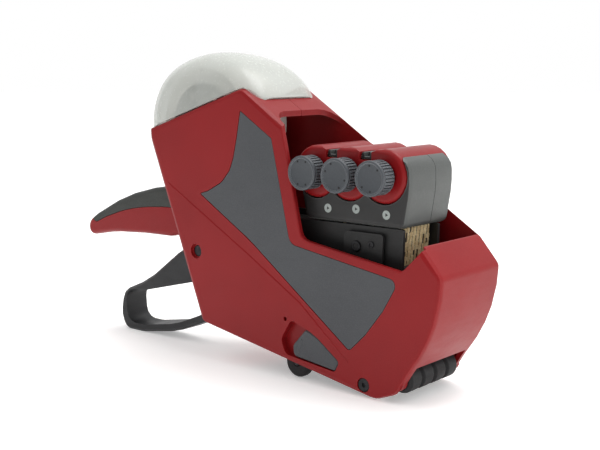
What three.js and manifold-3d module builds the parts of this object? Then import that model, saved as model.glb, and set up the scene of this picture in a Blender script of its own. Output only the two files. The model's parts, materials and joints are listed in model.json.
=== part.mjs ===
// A three-line hand price labeller, modelled as the pieces it comes apart into.
// Millimetres, +Z up, nose towards +X, the print head's knobs on the -Y side.
// The origin lies on the table, under the middle of the tool.
import * as THREE from 'three';
import { mergeVertices } from 'three/addons/utils/BufferGeometryUtils.js';
import Module from 'manifold-3d';

const wasm = await Module();
wasm.setup();

// ---- driving dimensions ----
const bodyWidth = 52;
const handleReach = 74; // from the housing's rear wall to the handle's tip
const wall = 2.4;
const gap = 0.3; // between touching pieces
const runningGap = 0.4; // round a turning piece
const edgeRound = 2.6;

const rollRadius = 29.5;
const rollWidth = 32;
const coreRadius = 13.8;

const headWidth = 37.4;
const knobRadius = 8.3;
const knobLength = 9.2;
const knobPitch = 20;
const shaftRadius = 2.5;
const lobeRadius = 12.8;
const bandCount = 9;
const bandRoom = 11.3; // the head's walls and clearance beside its type bands
const bandPitch = (headWidth - bandRoom) / bandCount;
const bandThick = 1.1;

const triggerWidth = 16;
const handleWidth = 22;
const tongueWidth = 16;
const pinRadius = 2.8;
const guideWheelRadius = 7.5;
const applicatorRadius = 6.4;
const inkRollerRadius = 5;

const halfWidth = bodyWidth / 2;
const innerHalf = halfWidth - wall;
const headNear = -0.5 * headWidth + 1.2; // the print head's casing is set off towards the far wall
const headFar = headNear + headWidth;
const headSeam = headNear + 0.575 * headWidth;

// ---- solids ----
function solid(geometry) {
  const bare = geometry.index ? geometry.toNonIndexed() : geometry.clone();
  for (const name of Object.keys(bare.attributes)) {
    if (name !== 'position') bare.deleteAttribute(name);
  }
  const merged = mergeVertices(bare, 1e-4);
  return new wasm.Manifold(new wasm.Mesh({
    numProp: 3,
    vertProperties: merged.attributes.position.array,
    triVerts: new Uint32Array(merged.index.array),
  }));
}

function geometryOf(manifold) {
  const mesh = manifold.getMesh();
  const positions = new Float32Array(mesh.numVert * 3);
  for (let i = 0; i < mesh.numVert; i++) {
    positions.set(mesh.vertProperties.subarray(i * mesh.numProp, i * mesh.numProp + 3), i * 3);
  }
  const geometry = new THREE.BufferGeometry();
  geometry.setAttribute('position', new THREE.BufferAttribute(positions, 3));
  geometry.setIndex(new THREE.BufferAttribute(new Uint32Array(mesh.triVerts), 1));
  geometry.computeVertexNormals();
  return geometry;
}

// Moves each side of a counter-clockwise polygon inwards by a distance. Corners are [x, z, fillet radius].
function insetCorners(corners, distance) {
  const count = corners.length;
  const sides = corners.map(([x, z], i) => {
    const [nextX, nextZ] = corners[(i + 1) % count];
    const along = new THREE.Vector2(nextX - x, nextZ - z).normalize();
    const inward = new THREE.Vector2(-along.y, along.x);
    return { point: new THREE.Vector2(x, z).addScaledVector(inward, distance), along };
  });
  return corners.map(([, , radius = 0], i) => {
    const before = sides[(i + count - 1) % count];
    const after = sides[i];
    const turn = before.along.cross(after.along);
    const span = after.point.clone().sub(before.point);
    const travel = Math.abs(turn) < 1e-6 ? span.dot(before.along) : span.cross(after.along) / turn;
    const corner = before.point.clone().addScaledVector(before.along, travel);
    const fillet = radius > 0 ? Math.max(radius - Math.sign(turn) * distance, 0.2) : 0;
    return [corner.x, corner.y, fillet];
  });
}

// Points of a polygon whose corners are rounded to their fillet radii.
function rounded(corners, inset = 0, arcStep = 0.5) {
  const shape = inset ? insetCorners(corners, inset) : corners;
  const points = [];
  shape.forEach(([x, z, radius = 0], i) => {
    const corner = new THREE.Vector2(x, z);
    const [beforeX, beforeZ] = shape[(i + shape.length - 1) % shape.length];
    const [afterX, afterZ] = shape[(i + 1) % shape.length];
    const back = new THREE.Vector2(beforeX, beforeZ).sub(corner);
    const ahead = new THREE.Vector2(afterX, afterZ).sub(corner);
    const room = 0.48 * Math.min(back.length(), ahead.length());
    back.normalize();
    ahead.normalize();
    const half = Math.acos(THREE.MathUtils.clamp(back.dot(ahead), -1, 1)) / 2;
    const reach = Math.min(radius / Math.tan(half), room);
    const fillet = reach * Math.tan(half);
    if (fillet < 0.05 || half > 1.55) {
      points.push(corner);
      return;
    }
    const centre = corner.clone()
      .addScaledVector(back.clone().add(ahead).normalize(), fillet / Math.sin(half));
    const start = corner.clone().addScaledVector(back, reach).sub(centre);
    const sweep = (Math.PI - 2 * half) * Math.sign(ahead.cross(back));
    const steps = Math.max(1, Math.ceil(Math.abs(sweep) / arcStep));
    for (let k = 0; k <= steps; k++) {
      points.push(start.clone().rotateAround(new THREE.Vector2(), (sweep * k) / steps).add(centre));
    }
  });
  return points;
}

// An outline in the XZ plane made solid between two values of Y, its end edges rounded by bevel.
function slab(points, yLow, yHigh, bevel = 0, bevelSegments = 2) {
  // A rounded edge needs outline points no closer together than a small share of its radius.
  const apart = points.filter((p, i) => i === 0 || p.distanceTo(points[i - 1]) > 0.05 * bevel);
  const geometry = new THREE.ExtrudeGeometry(new THREE.Shape(apart), {
    depth: yHigh - yLow - 2 * bevel,
    bevelEnabled: bevel > 0,
    bevelThickness: bevel,
    bevelSize: bevel,
    bevelOffset: -bevel,
    bevelSegments,
    curveSegments: 1,
  });
  return solid(geometry.rotateX(Math.PI / 2).translate(0, yHigh - bevel, 0));
}

// An outline in the XY plane made solid between two heights.
function prism(points, zLow, zHigh) {
  const shape = new THREE.Shape(points.map(([x, y]) => new THREE.Vector2(x, y)));
  const geometry = new THREE.ExtrudeGeometry(shape, { depth: zHigh - zLow, bevelEnabled: false });
  return solid(geometry.translate(0, 0, zLow));
}

function polygon(...corners) {
  return corners.map(([x, z]) => new THREE.Vector2(x, z));
}

function rod([x, z], radius, yLow, yHigh, sides = 14) {
  const geometry = new THREE.CylinderGeometry(radius, radius, yHigh - yLow, sides);
  return solid(geometry.translate(x, (yLow + yHigh) / 2, z));
}

// A profile of [radius, y] pairs that closes on itself or on the axis, turned about a line along Y.
function turned([x, z], profile, sides = 20) {
  const points = profile.map(([radius, y]) => new THREE.Vector2(radius, y));
  return solid(new THREE.LatheGeometry(points, sides).translate(x, 0, z));
}

function box(xLow, xHigh, yLow, yHigh, zLow, zHigh) {
  const geometry = new THREE.BoxGeometry(xHigh - xLow, yHigh - yLow, zHigh - zLow);
  return solid(geometry.translate((xLow + xHigh) / 2, (yLow + yHigh) / 2, (zLow + zHigh) / 2));
}

function circlePoints([x, z], radius, sides = 24, from = 0, to = 2 * Math.PI) {
  const points = [];
  const steps = Math.max(2, Math.round((sides * (to - from)) / (2 * Math.PI)));
  const last = to - from > 6.28 ? steps - 1 : steps;
  for (let i = 0; i <= last; i++) {
    const angle = from + ((to - from) * i) / steps;
    points.push(new THREE.Vector2(x + radius * Math.cos(angle), z + radius * Math.sin(angle)));
  }
  return points;
}

// The outline of a belt stretched round circles, each [axis, radius]: the hull of their points.
function beltAround(circles, sides = 22) {
  const points = circles.flatMap(([axis, radius]) => circlePoints(axis, radius, sides));
  points.sort((p, q) => p.x - q.x || p.y - q.y);
  const chain = (ordered) => {
    const hull = [];
    for (const point of ordered) {
      while (hull.length > 1) {
        const [before, last] = hull.slice(-2);
        if (last.clone().sub(before).cross(point.clone().sub(last)) > 1e-6) break;
        hull.pop();
      }
      hull.push(point);
    }
    return hull.slice(0, -1);
  };
  return [...chain(points), ...chain([...points].reverse())];
}

const part = new THREE.Group();
const finishes = {
  redPlastic: { color: 0x8e1f22, roughness: 0.42, metalness: 0 },
  greyPlastic: { color: 0x55585b, roughness: 0.5, metalness: 0 },
  charcoalPlastic: { color: 0x343635, roughness: 0.5, metalness: 0 },
  darkRubber: { color: 0x1d1e1e, roughness: 0.75, metalness: 0 },
  softGrip: { color: 0x41463f, roughness: 0.7, metalness: 0 },
  clearPlastic: { color: 0xdadcd6, roughness: 0.12, metalness: 0, transparent: true, opacity: 0.35 },
  paper: { color: 0xeceade, roughness: 0.85, metalness: 0 },
  bandGold: { color: 0xb59a5e, roughness: 0.35, metalness: 0.7 },
  steel: { color: 0xb4b6b8, roughness: 0.3, metalness: 1 },
  inkFelt: { color: 0x17151c, roughness: 0.95, metalness: 0 },
};

function add(name, manifold, finish) {
  const mesh = new THREE.Mesh(geometryOf(manifold), new THREE.MeshStandardMaterial(finishes[finish]));
  mesh.name = name;
  part.add(mesh);
}

// ---- housing outline and the lines that other pieces share ----
const rearTop = [-56.5, 120.8];
const rearBottom = [-18.6, 19.8];
const frontBottom = [94, 0];
const hump = [10.5, 143.3];
const lip = [119.2, 74.3];
const housingCorners = [
  [...rearTop, 0],
  [-56.5, 115.5, 25],
  [...rearBottom, 4],
  [...frontBottom, 8],
  [106, 4.6, 8],
  [112.6, 15.2, 0],
  [121.8, 28.5, 40],
  [128.6, 46, 40],
  [130, 61.8, 5],
  [...lip, 0],
  [...hump, 6],
];

function along([xa, za], [xb, zb], x) {
  return za + ((zb - za) * (x - xa)) / (xb - xa);
}
const bottomAt = (x) => along(rearBottom, frontBottom, x);
const diagonalAt = (x) => along(hump, lip, x);
const seatAt = (x) => along(rearTop, hump, x);
const rearFaceAt = (z) => {
  const [x1, z1] = housingCorners[1];
  return x1 + ((rearBottom[0] - x1) * (z - z1)) / (rearBottom[1] - z1);
};

// Axes along Y, as [x, z].
const rollAxis = [-24.5, 123.5];
const triggerAxis = [-22, 57.5];
const carrierAxis = [-12, 72];
const coverAxis = [15.2, diagonalAt(15.2) - 2.3];
const flapAxis = [88, 6.2];
const guideAxis = [43, guideWheelRadius + 0.3];
const applicatorAxis = [105, 10.4];
const feedAxis = [16, 32];
const pawlAxis = [27.5, 45.5];
const inkArmAxis = [77, 70];
const handleBolt = [-28.5, 77];
const knobAxes = [0, 1, 2].map((i) => [52.2 + knobPitch * i, 103.8]);
const anvilAxes = [72, 81, 90].map((x) => [x, 28.6]);
const anvilRadius = 2;
const linkLow = [4, 50];
const linkHigh = [16.4, 66];

const flapRearX = 13;
const bridgeRearX = 16.5;
const bridgeFrontX = 28.5;

// ---- housing halves ----
const panelCorners = [
  [10.3, 132.2, 0.5],
  [rollAxis[0] + 32.2, rollAxis[1] - 5, 30],
  [3.5, 101, 26],
  [-8, 91.6, 26],
  [-19, 88.4, 0.6],
  [17, 66.8, 60],
  [79.5, 21, 2],
  [94.8, 36, 60],
  [107.6, 58.2, 3.5],
  [43, 68.6, 5],
  [31.2, 119.2, 0.6],
];
const latchCorners = [
  [43.6, 30.8, 2.5],
  [37, 20, 4],
  [40, 12.7, 4],
  [71, 9.2, 2],
  [73.8, 14.6, 2],
  [58.5, 25.6, 20],
];
const latchButtonCorners = [
  [52.2, 27.2, 2],
  [44, 18, 2.5],
  [44.6, 12.5, 2.5],
  ...latchCorners.slice(3),
];
const latchDepth = 3.6;
const pocketDepth = 4.8;
const panelDepth = 1.4;

const mirrored = (manifold) => manifold.mirror([0, 1, 0]);
const bothSides = (manifold) => manifold.add(mirrored(manifold));

function headOpening() {
  // Between the side walls, from the bridge to the nose's lip.
  const side = polygon(
    [bridgeFrontX, 92], [60, 88], [104, 62], [lip[0] - 1, 62], [lip[0] - 1, 160], [bridgeFrontX, 160],
  );
  const plan = rounded([
    [bridgeFrontX, -innerHalf, 10], [lip[0] - 1, -innerHalf, 0], [lip[0] - 1, innerHalf, 0],
    [bridgeFrontX, innerHalf, 10],
  ]);
  return slab(side, -innerHalf, innerHalf).intersect(prism(plan.map((p) => [p.x, p.y]), 50, 170));
}

function knobWindow() {
  // The low side of the head bay, where the knobs stand out of the housing.
  const corners = [
    [lip[0] + 0.4, lip[1] - 0.6, 0],
    [lip[0] + 6, 160, 0],
    [37.5, 160, 0],
    [37.5, diagonalAt(37.5), 1],
    [50, 71.4, 6],
    [108.6, 62.6, 3],
  ];
  return slab(rounded(corners), -halfWidth - 1, -innerHalf + 1);
}

function rollOpening() {
  const front = innerHalf - 5.6;
  const rear = rearTop[0] + wall;
  return prism([
    [rear, -innerHalf], [0, -innerHalf], [bridgeRearX, -front],
    [bridgeRearX, front], [0, innerHalf], [rear, innerHalf],
  ], 100, 190);
}

function rearOpenings() {
  const slotHalf = triggerWidth / 2 + 0.8;
  const triggerSlot = slab(polygon(
    [-60, 6], [-3, 6], [-3, bottomAt(-3) + 8], [-22, 40], [-26, 65], [-60, 65],
  ), -slotHalf, slotHalf);
  const tongueHalf = tongueWidth / 2 + gap;
  return triggerSlot.add(box(-60, -25, -tongueHalf, tongueHalf, 69.6 - gap, 84.4 + gap));
}

// A boss on the -Y wall round an axle's end, with a blind hole for it.
function boss(axis, axleRadius, reach) {
  return rod(axis, axleRadius + 2.6, -innerHalf - 0.5, -reach);
}
function blindHole(axis, axleRadius, gapRound = gap) {
  return rod(axis, axleRadius + gapRound, -halfWidth + 1.2, -4);
}
const axleSeats = [
  { axis: carrierAxis, radius: pinRadius, reach: 15.8 },
  { axis: handleBolt, radius: 2.2, reach: tongueWidth / 2 + gap + 0.3 },
  { axis: feedAxis, radius: 2, reach: 12.4 },
  { axis: applicatorAxis, radius: 1.8, reach: 20.6 },
];

function housing() {
  const outer = slab(rounded(housingCorners, 0, 0.35), -halfWidth, halfWidth, edgeRound);
  const inner = slab(rounded(housingCorners, wall), -innerHalf, innerHalf);
  let shell = outer.subtract(inner)
    .subtract(headOpening())
    .subtract(rollOpening())
    .subtract(rearOpenings())
    .subtract(rod(rollAxis, rollRadius + gap, -rollWidth / 2 - gap, rollWidth / 2 + gap, 64))
    .subtract(box(flapRearX - gap, frontBottom[0] + 18, -innerHalf, innerHalf, -6, 8.6))
    .subtract(box(97, 140, -21.1, 21.1, -10, applicatorAxis[1] + applicatorRadius + 1.4))
    .subtract(slab(polygon(
      [flapRearX - gap, 0], [frontBottom[0], -8], [frontBottom[0], 8],
      [flapRearX - gap, bottomAt(flapRearX) + 4],
    ), -innerHalf, innerHalf))
    .subtract(rod(coverAxis, 4.7, -innerHalf + 4.8, innerHalf - 4.8, 18));

  // Pockets behind the latch buttons, bosses for the axles and the drop-in seats of the roll.
  const pocket = slab(rounded(latchCorners, -2), -innerHalf - 0.5, -halfWidth + pocketDepth);
  const seats = axleSeats.map(({ axis, radius, reach }) => boss(axis, radius, reach));
  const rollSeat = rod(rollAxis, 7, -innerHalf - 0.5, -18.6)
    .subtract(rod(rollAxis, 3 + runningGap, -innerHalf, -10))
    .subtract(box(
      rollAxis[0] - 3 - runningGap, rollAxis[0] + 3 + runningGap,
      -innerHalf, -10, rollAxis[1], rollAxis[1] + 20,
    ));
  const hingeSeat = slab(rounded([
    [coverAxis[0] - 4.5, coverAxis[1] - 4.5, 2], [coverAxis[0] + 6, coverAxis[1] - 4.5, 2],
    [coverAxis[0] + 6, diagonalAt(coverAxis[0] + 6) - 0.8, 0],
    [coverAxis[0] - 4.5, diagonalAt(coverAxis[0] - 4.5) - 0.8, 0],
  ]), -innerHalf - 0.5, -innerHalf + 4.6);
  shell = shell.add(bothSides(wasm.Manifold.union([pocket, rollSeat, hingeSeat, ...seats])));
  shell = shell
    .add(rod(triggerAxis, 5.8, -innerHalf - 0.5, -triggerWidth / 2 - 0.6))
    .add(rod(triggerAxis, 5.8, triggerWidth / 2 + 5.9, innerHalf + 0.5))
    .add(rod(pawlAxis, 1.4, 8.8, innerHalf + 0.5, 12))
    .add(rod(pawlAxis, 3.6, 12.2, innerHalf + 0.5, 12));

  // What the pieces that fit the walls need cut out of both of them.
  const recess = slab(rounded(latchCorners), -halfWidth - 1, -halfWidth + latchDepth);
  const stemSlot = slab(rounded([
    [47, 23, 1], [47, 15, 1], [61.4, 13.4, 1], [61.4, 19.6, 1],
  ]), -halfWidth, -halfWidth + pocketDepth + 1);
  const panelSeat = slab(rounded(panelCorners), -halfWidth - 1, -halfWidth + panelDepth);
  const holes = axleSeats.map(({ axis, radius }) => blindHole(axis, radius));
  shell = shell.subtract(bothSides(wasm.Manifold.union([
    recess, stemSlot, panelSeat, ...holes,
    rod([39.8, 30.6], 1.1, -halfWidth - 1, -innerHalf + 1, 14),
    rod(coverAxis, 1.2 + gap, -innerHalf - 1, -innerHalf + 6, 16),
  ])));
  shell = shell
    .subtract(rod(triggerAxis, pinRadius + gap, -halfWidth - 1, halfWidth + 1))
    .subtract(rod(triggerAxis, 4, -halfWidth - 1, -halfWidth + 1.4))
    .subtract(rod(triggerAxis, 4, halfWidth - 1.4, halfWidth + 1))
    .subtract(rod(flapAxis, 2 + gap, -halfWidth - 1, halfWidth + 1))
    .subtract(rod(flapAxis, 3.6, -halfWidth - 1, -halfWidth + 1.6))
    .subtract(rod(flapAxis, 3.6, halfWidth - 1.6, halfWidth + 1));
  return shell.subtract(knobWindow());
}

function addHousing() {
  const shell = housing();
  const far = 200;
  // The near half carries the whole nose, so its joint shows only at the bridge and the rear wall.
  const nearHalf = box(-far, 98, -far, -gap / 2, -far, far)
    .add(box(97.9, far, -far, innerHalf - gap, -far, far));
  const farHalf = box(-far, 98, gap / 2, far, -far, far)
    .add(box(97.9, far, innerHalf, far, -far, far))
    .subtract(box(98, far, -far, innerHalf, -far, far));
  const biggest = (manifold) => manifold.decompose().sort((a, b) => b.volume() - a.volume())[0];
  add('housing_right', biggest(shell.intersect(nearHalf)), 'redPlastic');
  add('housing_left', biggest(shell.intersect(farHalf)), 'redPlastic');

  const panel = slab(rounded(panelCorners, gap), -halfWidth + 0.1, -halfWidth + panelDepth - gap);
  add('side_panel_right', panel, 'greyPlastic');
  add('side_panel_left', mirrored(panel), 'greyPlastic');
}

// ---- label compartment: roll, hubs and the clear cover ----
function coverProfile(inset) {
  const [cx, cz] = [-22, 124];
  const rear = circlePoints([0, 0], 1, 28, Math.PI / 2, Math.PI)
    .map((p) => new THREE.Vector2(cx + p.x * (36.3 - inset), cz + p.y * (37 - inset)));
  const brow = new THREE.CubicBezierCurve(
    new THREE.Vector2(cx, cz + 37 - inset),
    new THREE.Vector2(-1, cz + 37 - inset),
    new THREE.Vector2(11 - inset, 151 - inset),
    new THREE.Vector2(18.2 - inset * 0.8, diagonalAt(18.2) + 0.6 - inset * 0.6),
  ).getPoints(7);
  const points = [
    ...brow.reverse().slice(0, -1),
    ...rear,
    new THREE.Vector2(cx - 36.3 + inset, 100),
    new THREE.Vector2(18.2 - inset * 0.8, 100),
  ];
  return points;
}

function addRollCover() {
  const plan = (shrink) => prism([
    [-62, -halfWidth + shrink], [1, -halfWidth + shrink], [19.5, -halfWidth + 6.4 + shrink],
    [19.5, halfWidth - 6.4 - shrink], [1, halfWidth - shrink], [-62, halfWidth - shrink],
  ], 90, 180);
  const thick = 1.7;
  const side = halfWidth - 0.2;
  // The crown is rounded over far more than the rear edges that meet the housing.
  const helmet = (inset, bevel, crown) => {
    const half = side - inset;
    const stretched = coverProfile(inset).map((p) => (p.x < -22 ? new THREE.Vector2(p.x - 10, p.y) : p));
    return slab(coverProfile(inset), -half, half, bevel, 2)
      .intersect(slab(stretched, -half, half, crown, 4))
      .intersect(plan(0.2 + inset));
  };
  const skin = helmet(0, 5, 13).subtract(helmet(thick, 3.6, 11.6));
  const belowSeat = slab(polygon(
    [-70, 90], [40, 90], [40, diagonalAt(40) + gap], hump.map((v) => v + gap), [hump[0] - 4, seatAt(hump[0] - 4) + gap],
    [-70, seatAt(-70) + gap],
  ), -40, 40);
  const barrelHalf = innerHalf - 6;
  const barrel = rod(coverAxis, 2, -barrelHalf, barrelHalf, 20)
    .add(box(coverAxis[0] - 1.6, coverAxis[0] + 0.7, -barrelHalf, barrelHalf, coverAxis[1], diagonalAt(coverAxis[0]) + 1.6));
  const cover = skin.subtract(belowSeat).add(barrel)
    .subtract(rod(coverAxis, 1.2 + 0.05, -40, 40, 16));
  add('roll_cover', cover.decompose().sort((a, b) => b.volume() - a.volume())[0], 'clearPlastic');
  add('cover_hinge_pin', rod(coverAxis, 1.2 - gap / 2, -innerHalf + 0.2, innerHalf - 0.2, 16), 'steel');
}

function addRoll() {
  const rollHalf = rollWidth / 2;
  const ring = (outerRadius, innerRadius, half) => turned(rollAxis, [
    [innerRadius, -half], [outerRadius, -half], [outerRadius, half], [innerRadius, half], [innerRadius, -half],
  ], 32);
  add('label_roll', ring(rollRadius, coreRadius, rollHalf), 'paper');
  add('roll_core', ring(coreRadius - gap, coreRadius - 1.6, rollHalf - 0.2), 'paper');
  const hubRadius = coreRadius - 1.6 - gap;
  const hub = turned(rollAxis, [
    [0, -1], [hubRadius - 2, -1], [hubRadius, -3], [hubRadius, -rollHalf - gap], [21, -rollHalf - gap],
    [21.6, -rollHalf - 0.8], [21, -rollHalf - 1.5], [8, -rollHalf - 1.5],
    [3, -rollHalf - 2.2], [3, -innerHalf + 0.4], [0, -innerHalf + 0.4],
  ].reverse(), 20);
  const holes = [0, 1, 2, 3, 4, 5].map((i) => {
    const angle = (i * Math.PI) / 3;
    const at = [rollAxis[0] + 16.6 * Math.cos(angle), rollAxis[1] + 16.6 * Math.sin(angle)];
    return rod(at, 2.6, -rollHalf - 3, -rollHalf, 6);
  });
  const rightHub = hub.subtract(wasm.Manifold.union(holes));
  add('roll_hub_right', rightHub, 'greyPlastic');
  add('roll_hub_left', mirrored(rightHub), 'greyPlastic');
}

// ---- handle ----
function addHandle() {
  const stretch = handleReach / 74;
  const out = (x) => -56 + (x + 56) * stretch; // the part behind the housing follows its reach
  const tip = (x) => x - (handleReach - 74); // its rounded end keeps its shape
  const corners = [
    [-30, 88.9, 0],
    [out(-67), 87, 50],
    [out(-96), 79.6, 70],
    [tip(-122), 66.8, 24],
    [tip(-129.8), 61.4, 5.4],
    [tip(-128.4), 53.2, 4.6],
    [out(-106), 57.4, 70],
    [out(-80), 59, 20],
    [-58, 59.4, 12],
    [-30, 68, 0],
  ];
  const half = handleWidth / 2;
  const clearOfHousing = slab(rounded(housingCorners, -gap), -halfWidth - 1, halfWidth + 1);
  const grasp = slab(rounded(corners, 0, 0.4), -half, half, 3, 3).subtract(clearOfHousing);
  const tongueHalf = tongueWidth / 2;
  const tongue = slab(rounded([
    [-50, 84.4, 0], [-50, 69.6, 0], [-21.5, 69.6, 2], [-21.5, 84.4, 2],
  ]), -tongueHalf, tongueHalf);
  const blank = grasp.add(tongue).subtract(rod(handleBolt, 2.2 + gap, -20, 20));
  const gripLine = [
    [-25, 77, 0], [-25, 100, 0], [tip(-126), 100, 0], [tip(-126.5), 63.8, 3], [tip(-121), 61.8, 3], [out(-112), 65.8, 30],
    [out(-94), 71.8, 60], [out(-77), 74.6, 60], [-62, 75.8, 0],
  ];
  const above = slab(rounded(gripLine), -half - 1, half + 1);
  const gripRoom = slab(rounded(gripLine, gap), -half - 1, half + 1);
  const grip = grasp.intersect(gripRoom).subtract(slab(rounded([
    [-60, 84.4 + gap, 0], [-60, 69.6 - gap, 0], [-21, 69.6 - gap, 0], [-21, 84.4 + gap, 0],
  ]), -tongueHalf - gap, tongueHalf + gap));
  add('handle_shell', blank.subtract(above.subtract(tongue)), 'redPlastic');
  add('handle_grip', grip.decompose().sort((a, b) => b.volume() - a.volume())[0], 'softGrip');
  add('handle_bolt', rod(handleBolt, 2.2, -halfWidth + 1.6, halfWidth - 1.6, 16), 'steel');
}

// ---- trigger, its pin, its spring and the link up to the print head ----
function addTrigger() {
  const half = triggerWidth / 2;
  const loopCorners = [
    [-19, 64.4, 6],
    [-29, 63.6, 5],
    [-54, 51.2, 30],
    [-80.5, 31.8, 50],
    [-102.4, 22.6, 9],
    [-105, 8, 14],
    [-100.6, 0, 5],
    [-86, 0, 20],
    [-57, 4.8, 40],
    [-37, 12.8, 30],
    [-14, 25.4, 8],
    [-13.6, 44, 6],
    [linkLow[0] + 5, linkLow[1] - 5, 5],
    [linkLow[0] + 5, linkLow[1] + 5, 5],
    [-12, 57, 5],
  ];
  const fingerGap = [
    [-100, 24, 7],
    [-98.6, 4.6, 7],
    [-85, 4.4, 14],
    [-57, 9.4, 40],
    [-37, 17.6, 20],
    [-22.6, 26.4, 5],
    [-24.4, 40, 5],
    [-49, 33.8, 40],
    [-83, 25.2, 20],
  ];
  const loop = slab(rounded(loopCorners), -half, half, 1.4, 1)
    .subtract(slab(rounded(fingerGap), -half - 1, half + 1));
  // Ahead of the rear wall only a narrow arm goes on to the link.
  const sideRoom = bothSides(box(-10.5, 30, -half - 1, -4, 30, 70));
  const lever = loop.subtract(sideRoom)
    .add(rod(linkLow, 1.8, 0, 8.2, 16))
    .subtract(rod(triggerAxis, pinRadius + runningGap, -20, 20));
  add('trigger_lever', lever, 'charcoalPlastic');
  add('trigger_pivot_pin', rod(triggerAxis, pinRadius, -halfWidth + 1.6, halfWidth - 1.6, 20), 'steel');

  const coilRadius = pinRadius + 1.6;
  const turns = 3;
  const wire = 0.5;
  const points = [];
  for (let i = 0; i <= turns * 12; i++) {
    const angle = (i * Math.PI) / 6;
    points.push(new THREE.Vector3(
      triggerAxis[0] + coilRadius * Math.cos(angle),
      half + 1.3 + (i / 12) * 1.15,
      triggerAxis[1] + coilRadius * Math.sin(angle),
    ));
  }
  points.push(new THREE.Vector3(triggerAxis[0] + coilRadius + 0.2, half + 4.8, triggerAxis[1] + 8));
  const spring = new THREE.ExtrudeGeometry(
    new THREE.Shape(circlePoints([0, 0], wire, 5)),
    { steps: 36, bevelEnabled: false, extrudePath: new THREE.CatmullRomCurve3(points) },
  );
  add('trigger_return_spring', solid(spring), 'steel');

  const link = slab(beltAround([[linkHigh, 4.6], [linkLow, 4.4]], 16), 4.6, 7.4)
    .subtract(rod(linkLow, 1.8 + runningGap, 0, 10, 16))
    .subtract(rod(linkHigh, 1.8 + 0.6, 0, 10, 16));
  add('drive_link', link, 'steel');
}

// ---- print head: carrier, casing, selectors and bands ----
const cheekIn = (bandCount * bandPitch) / 2 + 0.5;
const cheekOut = cheekIn + 1.8;
const casingFrontX = 106.8;
const casingFloor = 80.2;
const guideBar = [97.6, 60];

function addCarrier() {
  const cheekCorners = [
    [-19, 79.4, 7],
    [-19, 65, 7],
    [14, 59.6, 10],
    [50, 59, 6],
    [62, 40, 10],
    [68, 26, 2],
    [94, 26, 2],
    [101.6, 52, 30],
    [102.3, casingFloor - gap, 1],
    [50, casingFloor - gap, 1],
  ];
  const cheek = slab(rounded(cheekCorners), -cheekOut, -cheekIn);
  const studs = rod(inkArmAxis, 2.4, -18.2, -cheekOut + 0.2, 20);
  let carrier = bothSides(cheek.add(studs))
    .add(rod(carrierAxis, 5.4, -cheekIn - 0.2, cheekIn + 0.2, 28))
    .add(box(-8, 40, -cheekIn - 0.2, cheekIn + 0.2, 74.2, 76.4))
    .add(rod(linkHigh, 1.8, 4, cheekIn + 0.2, 16))
    .add(rod(guideBar, 1.5, -cheekIn - 0.2, cheekIn + 0.2, 12));
  for (const axis of anvilAxes) carrier = carrier.add(rod(axis, anvilRadius, -cheekIn - 0.2, cheekIn + 0.2, 16));
  carrier = carrier.subtract(rod(carrierAxis, pinRadius + runningGap, -30, 30));
  add('head_carrier', carrier, 'charcoalPlastic');
  add('carrier_pivot_pin', rod(carrierAxis, pinRadius, -halfWidth + 1.6, halfWidth - 1.6, 20), 'steel');
}

function lobes(radius, yLow, yHigh) {
  return wasm.Manifold.union(knobAxes.map((axis) => rod(axis, radius, yLow, yHigh, 24)));
}

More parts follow.
